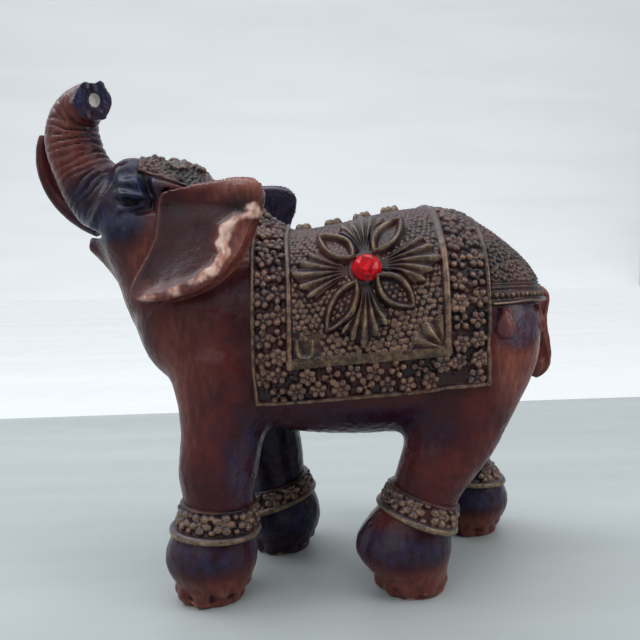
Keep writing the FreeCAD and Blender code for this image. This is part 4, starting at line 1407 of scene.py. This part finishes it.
def skin_material():
    """Brown resin with navy paint and navy painted shade, pale dust and painted sheen, painted
    highlights on ridges, painted shade in the ears, a dark wash in the hollows and a cream core.
    """
    n = Nodes("brown_resin")
    patch = n.noise(9.0, 4.0)
    mottle = n.noise(2.2, 5.0)
    grain = n.noise(0.35, 2.0)
    streak = n.noise(1.1, 4.0, stretch=(1.0, 1.0, 0.35))
    color = n.between(patch, 0.35, 0.65, (0.044, 0.0085, 0.0110), (0.086, 0.0165, 0.0150))
    color = n.mix(n.times(n.remap(mottle, 0.42, 0.7), 0.5), color, (0.026, 0.0075, 0.0130))
    warm = n.between(streak, 0.35, 0.7, (0.125, 0.034, 0.024), (0.225, 0.074, 0.052))
    color = n.mix(n.times(n.value("warm"), 0.85), color, warm)
    # Navy paint, also the colour of the painted shade on the far ear and far front leg
    navy_and_shade = n.between(mottle, 0.35, 0.7, (0.003, 0.005, 0.011), (0.009, 0.014, 0.046))
    color = n.mix(n.times(n.value("navy_and_shade"), 0.97), color, navy_and_shade)
    specks = n.remap(grain, 0.52, 0.66)
    # Pale purple-blue dust and painted sheen, in specks
    dust_and_sheen = n.times(n.value("dust_and_sheen"), n.remap(streak, 0.36, 0.62, 0.25, 1.0))
    dust_and_sheen = n.times(dust_and_sheen, n.plus(n.times(specks, 0.7), 0.3))
    color = n.mix(n.times(dust_and_sheen, 0.62), color, (0.22, 0.21, 0.34))
    # Painted shade inside the ears
    color = n.mix(n.times(n.value("dark"), 0.93), color, (0.024, 0.0075, 0.0105))
    hollow = n.remap(n.value("cavity"), 0.08, 0.6)
    color = n.mix(n.times(hollow, 0.85), color, (0.010, 0.006, 0.008))
    # Painted highlight: ridges lightened towards warm brown, except on the navy paint and painted
    # shade
    edge = n.remap(n.value("cavity"), -0.12, -0.7)
    edge = n.times(edge, n.minus(1.0, n.value("navy_and_shade")))
    color = n.mix(n.times(edge, 0.28), color, (0.20, 0.075, 0.055))
    cream = n.between(mottle, 0.40, 0.65, (0.34, 0.145, 0.100), (0.66, 0.46, 0.38))
    cream = n.between(n.value("pale"), 1.0, 1.25, cream, (0.70, 0.66, 0.62))
    pale = n.remap(n.plus(n.value("pale"), n.times(n.minus(mottle, 0.5), 0.8)), 0.35, 0.75)
    color = n.mix(n.times(pale, 0.9), color, cream)
    rough = n.plus(n.remap(mottle, 0.3, 0.7, 0.22, 0.36), n.times(dust_and_sheen, 0.2))
    n.bump(n.noise(0.9, 5.0), 0.10)
    n.bump(grain, 0.035)
    return n.set(Base_Color=color, Roughness=rough, Coat_Weight=0.05, Coat_Roughness=0.12,
                 Subsurface_Weight=0.03, Subsurface_Scale=0.0015,
                 Subsurface_Radius=(1.0, 0.35, 0.25), Specular_IOR_Level=0.15)


def relief_material():
    """Antique bronze rubbed over brown paint: bright on what stands up, dark between; with painted
    glints, and a painted cool reflection on faces that look up.
    """
    n = Nodes("antique_bronze")
    patch = n.noise(7.0, 3.0)
    mottle = n.noise(1.3, 4.0)
    grain = n.noise(0.22, 2.0)
    ground = n.between(patch, 0.4, 0.62, (0.012, 0.0045, 0.006), (0.050, 0.013, 0.013))
    bronze = n.between(mottle, 0.35, 0.65, (0.080, 0.036, 0.027), (0.240, 0.127, 0.088))
    gold = n.between(mottle, 0.35, 0.65, (0.070, 0.046, 0.026), (0.215, 0.152, 0.086))
    paint = n.mix(n.value("gilt"), bronze, gold)
    # Painted reflection: faces that look up turn cool grey-blue, as if the sky shone off them
    facing = n.tree.nodes.new("ShaderNodeSeparateXYZ")
    n.link(n.tree.nodes.new("ShaderNodeNewGeometry").outputs["Normal"], facing.inputs[0])
    top_reflection = n.remap(facing.outputs["Z"], 0.15, 0.80, 0.0, 0.85)
    paint = n.mix(top_reflection, paint, (0.042, 0.042, 0.055))
    height = n.plus(n.value("raised"), n.times(n.minus(mottle, 0.5), 0.7))
    height = n.plus(height, n.times(n.minus(patch, 0.5), 0.5))
    worn = n.remap(height, 0.45, 1.20)
    color = n.mix(worn, ground, paint)
    glint = n.remap(n.plus(n.times(grain, 0.6), n.times(n.value("raised"), 0.4)), 0.62, 0.80)
    glint = n.times(glint, n.minus(1.0, top_reflection))
    color = n.mix(n.times(glint, 0.35), color, (0.45, 0.33, 0.23))
    metal = n.times(worn, n.remap(mottle, 0.3, 0.6, 0.35, 0.75))
    rough = n.remap(mottle, 0.3, 0.7, 0.30, 0.48)
    n.bump(n.noise(0.5, 4.0), 0.06)
    n.bump(grain, 0.03)
    return n.set(Base_Color=color, Metallic=metal, Roughness=rough, Coat_Weight=0.06,
                 Coat_Roughness=0.2, Specular_IOR_Level=0.3)


def stone_material():
    """Red glass: each facet with its own painted brightness, standing for reflections, and a faint
    painted glow.
    """
    n = Nodes("red_glass_stone")
    tone = n.value("facet")
    cloud = n.noise(1.4, 2.0)
    deep = n.between(cloud, 0.35, 0.65, (0.14, 0.001, 0.005), (0.30, 0.002, 0.009))
    color = n.mix(tone, deep, (0.50, 0.008, 0.012))
    # A faint painted glow in the stone's own colours
    return n.set(Base_Color=color, Roughness=0.10, Coat_Weight=0.15, Coat_Roughness=0.04,
                 Specular_IOR_Level=0.12, Emission_Color=color, Emission_Strength=0.06)


def eye_material():
    """Near-black paint, duller than the skin."""
    n = Nodes("dark_eye_paint")
    cloud = n.remap(n.noise(0.8, 3.0), 0.4, 0.6)
    color = n.mix(cloud, (0.003, 0.003, 0.004), (0.008, 0.006, 0.008))
    n.bump(n.noise(0.5, 2.0), 0.03)
    return n.set(Base_Color=color, Roughness=n.remap(n.noise(0.6, 2.0), 0.3, 0.7, 0.55, 0.75),
                 Specular_IOR_Level=0.1)


def stage_material(name, light, dark, grain, glow=0.0):
    """A pale surface with a faint broad grain, and light of its own where it stands far off."""
    n = Nodes(name)
    color = n.mix(n.remap(n.noise(grain, 4.0, stretch=(0.12, 1.0, 1.0)), 0.3, 0.7), dark, light)
    return n.set(Base_Color=color, Roughness=n.remap(n.noise(grain / 2), 0.3, 0.7, 0.5, 0.6),
                 Emission_Color=color, Emission_Strength=glow)


SKIN = skin_material()
RELIEF = relief_material()
STONE = stone_material()
EYE = eye_material()


def finished(obj, material, slot, *nodes):
    """Paints a piece, says what it rides on and hides the CAD nodes it stands for; the slot is not
    used.
    """
    obj.data.materials.append(material)
    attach(obj, "root")
    if nodes:
        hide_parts(*nodes)
    return obj


# ---- Putting it together ------------------------------------------------------------------

base = joined_nodes(node_distance("torso"), BODY_BLENDS)
for side in (-1, 1):
    for numbers in HEAD_SHAPES:
        shape_ellipsoid(base, side, *numbers)
shape_ellipsoid(base, 1, *MOUTH)
make_trunk_tip(base)

saddle_cloth, saddle, saddle_pieces = make_saddle(base)
GILT_PIECES = ("outer_piping", "inner_piping", "corner_leaves", "spine_studs")
FIELD_NODES = {"beaded_field_left": ("beaded_field", "saddle_cloth"),
               "beaded_field_right": ("beaded_field",)}
for key, chosen in saddle_pieces.items():
    piece = saddle.piece(key + "_relief", chosen)
    slot = "relief_paint" if key in GILT_PIECES else "cloth_paint"
    finished(piece, RELIEF, slot, *FIELD_NODES.get(key, (key,)))
for side, name in ((-1, "left"), (1, "right")):
    rosette, out = make_rosette(saddle_cloth, side, name)
    finished(rosette, RELIEF, "relief_paint", "rosette_" + name)
    stone = make_stone(name, out)
    finished(stone, STONE, "set_stone", "stone_" + name)
for relief, pieces in (make_rump(base), make_cap(base)):
    for key, chosen in pieces.items():
        finished(relief.piece(key + "_relief", chosen), RELIEF, "cloth_paint", key)
for number, leg in enumerate(LEG_NAMES):
    finished(make_anklet(base, leg, 80 + number), RELIEF, "relief_paint", "anklet_" + leg)

PARTS = ("torso", "head", "lower_jaw", "trunk", "ear_left", "ear_right", "tail",
         *("leg_" + leg for leg in LEG_NAMES), *("toenails_" + leg for leg in LEG_NAMES))


def nearest_parts(points):
    """Which part each point of the skin belongs to, and its distance from each of them."""
    nearest = np.full(len(points), 1e9)
    labels = np.zeros(len(points), int)
    away = {}
    for number, node in enumerate(PARTS):
        away[node] = sample(node_distance(node), points)
        closer = away[node] < nearest - 0.05
        nearest[closer], labels[closer] = away[node][closer], number
    return labels, away


def lifted(field, points, quads, normals, lift, rounds, depth):
    """The skin with its fine shape: points, normals, and how hollow it is at each point, 1
    being this depth below the skin smoothed so many rounds."""
    points = points + normals * lift[:, None]
    points[:, 2] = np.maximum(points[:, 2], 0.0)
    normals = point_normals(points, quads)
    if (normals * slope(field, points, 0.5)).sum() < 0:
        normals = -normals
    cavity = ((smoothed(points, quads, rounds) - points) * normals).sum(1) / depth
    return points, normals, cavity


whole = joined_nodes(base, OUTER_BLENDS)
points, quads, normals = make_skin(whole)
labels, away = nearest_parts(points)
shares = {}         # how far each point belongs to one of these rather than to the body
for node in ("ear_left", "ear_right", "leg_front_right", "tail"):
    body = np.minimum(away["torso"], away["head"])
    shares[node] = smooth_step(-0.4, 1.4, body - away[node]) * smooth_step(2.2, 1.2, away[node])
lift = skin_relief(points)
pale, ear_shade, ear_rim = (np.zeros(len(points)) for _ in range(3))
for side, node in ((-1, "ear_left"), (1, "ear_right")):
    chosen = shares[node] > 0
    shape, worn, inner, rim = ear_relief(points[chosen], normals[chosen], side)
    share = shares[node][chosen]
    lift[chosen] = lift[chosen] * (1 - share) + shape * share
    pale[chosen], ear_shade[chosen], ear_rim[chosen] = worn * share, inner * share, rim * share
lift += tassel_relief(points, normals) * shares["tail"]
rounds = 14    # of smoothing, to find the hollows
points, normals, cavity = lifted(whole, points, quads, normals, lift, rounds, 0.35)
marks = paint_marks(points, normals, cavity, shares)
chips = smooth_step(0.25, 0.6, noise(points, 1.6, 91)) * smooth_step(2.4, 0.6, points[:, 2])
tip_out, tip_u, tip_v = tip_axes(*(points - TIP).T)
core = smooth_step(0.25, 0.0, cup_edge(tip_u, tip_v)) * smooth_step(-0.35, -0.6, tip_out)
core *= tip_out > -2
# The painted shade in the ears
marks["dark"] = np.clip(ear_shade, 0, 1)
marks["warm"] = np.maximum(marks["warm"] * (1 - ear_shade), 0.8 * ear_rim * (1 - marks["navy_and_shade"]))
marks["pale"] = np.clip(np.maximum.reduce([pale, 0.8 * chips, 1.3 * core]), 0, 1.3)
for number, node in enumerate(PARTS):
    piece = capped_object(node + "_skin", labels == number, points, quads, normals, marks)
    finished(piece, SKIN, "nail_resin" if node.startswith("toenails") else "body_resin", node)


def lone_piece(node, relief=None):
    """A CAD node on its own, softened and painted like the skin."""
    field = node_distance(node)
    points, quads, normals = make_skin(field)
    lift = 0.06 * fractal(points, 3.0, 7)
    if relief:
        lift = lift + relief(points, normals)
    points, normals, cavity = lifted(field, points, quads, normals, lift, 6, 0.3)
    marks = paint_marks(points, normals, cavity, {})
    if relief:
        marks["navy_and_shade"] *= 0.25
        marks["dust_and_sheen"] *= 0.3
        marks["warm"] = np.full(len(points), 0.45)
    return new_mesh(node + "_skin", points, quads, normals, marks)


tusk = finished(lone_piece("tusk_right"), SKIN, "body_resin", "tusk_right")
tassels = finished(lone_piece("rump_tassels", tassel_relief), SKIN, "body_resin", "rump_tassels")
for name in ("eye_left", "eye_right"):
    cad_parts[name].data.materials.clear()
    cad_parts[name].data.materials.append(EYE)

# ---- Camera, light and stage --------------------------------------------------------------

SENSOR = 36.0
FOCAL = 686.0 / 640.0           # focal length as a share of the picture's width
DISTANCE, EYE_HEIGHT = 141.0, 63.0
PITCH, ROLL, SWING = math.radians(4.4), math.radians(1.16), math.radians(-4.0)
# Name, place, what it points at, diameter, watts and colour
LAMPS = (
    ("window", (-260, 60, 420), (0, 20, 30), 320, 1.3, (0.95, 0.98, 1.0)),
    ("front", (-210, -330, 260), (0, 0, 40), 420, 0.45, (0.97, 0.98, 1.0)),
    ("rear", (330, -150, 210), (36, 0, 45), 240, 0.66, (1.0, 0.97, 0.95)),
    ("wall_wash", (60, -20, 480), (0, 160, 20), 420, 1.15, (0.97, 0.99, 1.0)),
)
STAGE_HALF, STAGE_HEIGHT = 900.0, 900.0     # of the stage across, and of its wall
FLOOR_END, WALL_Y = 163.0, 1500.0           # where the floor gives way to a paler one; the wall


def make_camera():
    """The photograph's viewpoint: near the left side, a little above, and slightly rolled."""
    aside = np.array([math.sin(SWING), -math.cos(SWING), 0.0])
    back = aside * math.cos(PITCH) + np.array([0.0, 0.0, math.sin(PITCH)])
    right = np.array([math.cos(SWING), math.sin(SWING), 0.0])
    up = np.cross(right, -back)
    across = math.cos(ROLL) * right - math.sin(ROLL) * up
    upward = math.sin(ROLL) * right + math.cos(ROLL) * up
    place = to_row(aside * DISTANCE + np.array([0.0, 0.0, EYE_HEIGHT]))
    data = bpy.data.cameras.new("camera")
    data.sensor_width = SENSOR
    data.lens = FOCAL * SENSOR
    data.clip_start = 0.01
    camera = in_scene("camera", data)
    columns = np.stack([across, upward, back, place], -1)
    camera.matrix_world = Matrix([*columns.tolist(), (0, 0, 0, 1)])
    bpy.context.scene.camera = camera


def add_light(name, place, target, size, watts, color):
    """A soft round lamp that points at the target."""
    data = bpy.data.lights.new(name, "AREA")
    data.shape = "DISK"
    data.size = size / MM
    data.energy = watts
    data.color = color
    lamp = in_scene(name, data)
    lamp.location = to_row(place)
    aim = Vector(to_row(target)) - lamp.location
    lamp.rotation_mode = "QUATERNION"
    lamp.rotation_quaternion = aim.to_track_quat("-Z", "Y")


def make_stage():
    """A pale floor, a paler one behind it, and a wall far enough off to leave room all round."""
    floor = stage_material("pale_floor", (0.335, 0.36, 0.36), (0.295, 0.32, 0.32), 26.0)
    far_floor = stage_material(
        "pale_far_floor", (0.204, 0.2135, 0.2175), (0.196, 0.2045, 0.2085), 40.0, 2.76)
    wall = stage_material(
        "pale_wall", (0.72, 0.745, 0.76), (0.69, 0.71, 0.725), 40.0, 0.58)
    for name, material, (y0, z0), (y1, z1) in (
        ("floor", floor, (-STAGE_HALF, 0), (FLOOR_END, 0)),
        ("far_floor", far_floor, (FLOOR_END, 0), (WALL_Y, 0)),
        ("wall", wall, (WALL_Y, 0), (WALL_Y, STAGE_HEIGHT)),
    ):
        corners = [(-STAGE_HALF, y0, z0), (STAGE_HALF, y0, z0),
                   (STAGE_HALF, y1, z1), (-STAGE_HALF, y1, z1)]
        mesh = bpy.data.meshes.new(name)
        mesh.from_pydata(to_row(corners).tolist(), [], [(0, 1, 2, 3)])
        mesh.materials.append(material)
        plane = in_scene(name, mesh)


def make_world():
    """Light from above and behind, and little from the viewer's side of the room."""
    world = bpy.data.worlds.new("room")
    world.use_nodes = True
    tree = world.node_tree
    place = tree.nodes.new("ShaderNodeTexCoord")
    toward = tree.nodes.new("ShaderNodeVectorMath")
    toward.operation = "DOT_PRODUCT"
    toward.inputs[1].default_value = (-0.35, 0.45, 0.82)
    level = tree.nodes.new("ShaderNodeMapRange")
    level.interpolation_type = "SMOOTHSTEP"
    for key, value in (("From Min", -0.4), ("From Max", 0.9), ("To Min", 0.05), ("To Max", 1.05)):
        level.inputs[key].default_value = value
    ground = tree.nodes["Background"]
    ground.inputs["Color"].default_value = (0.88, 0.94, 1.0, 1.0)
    tree.links.new(place.outputs["Generated"], toward.inputs[0])
    tree.links.new(toward.outputs["Value"], level.inputs["Value"])
    tree.links.new(level.outputs["Result"], ground.inputs["Strength"])
    bpy.context.scene.world = world


make_camera()
make_stage()
make_world()
for lamp_numbers in LAMPS:
    add_light(*lamp_numbers)
bpy.context.scene.view_settings.view_transform = "Standard"
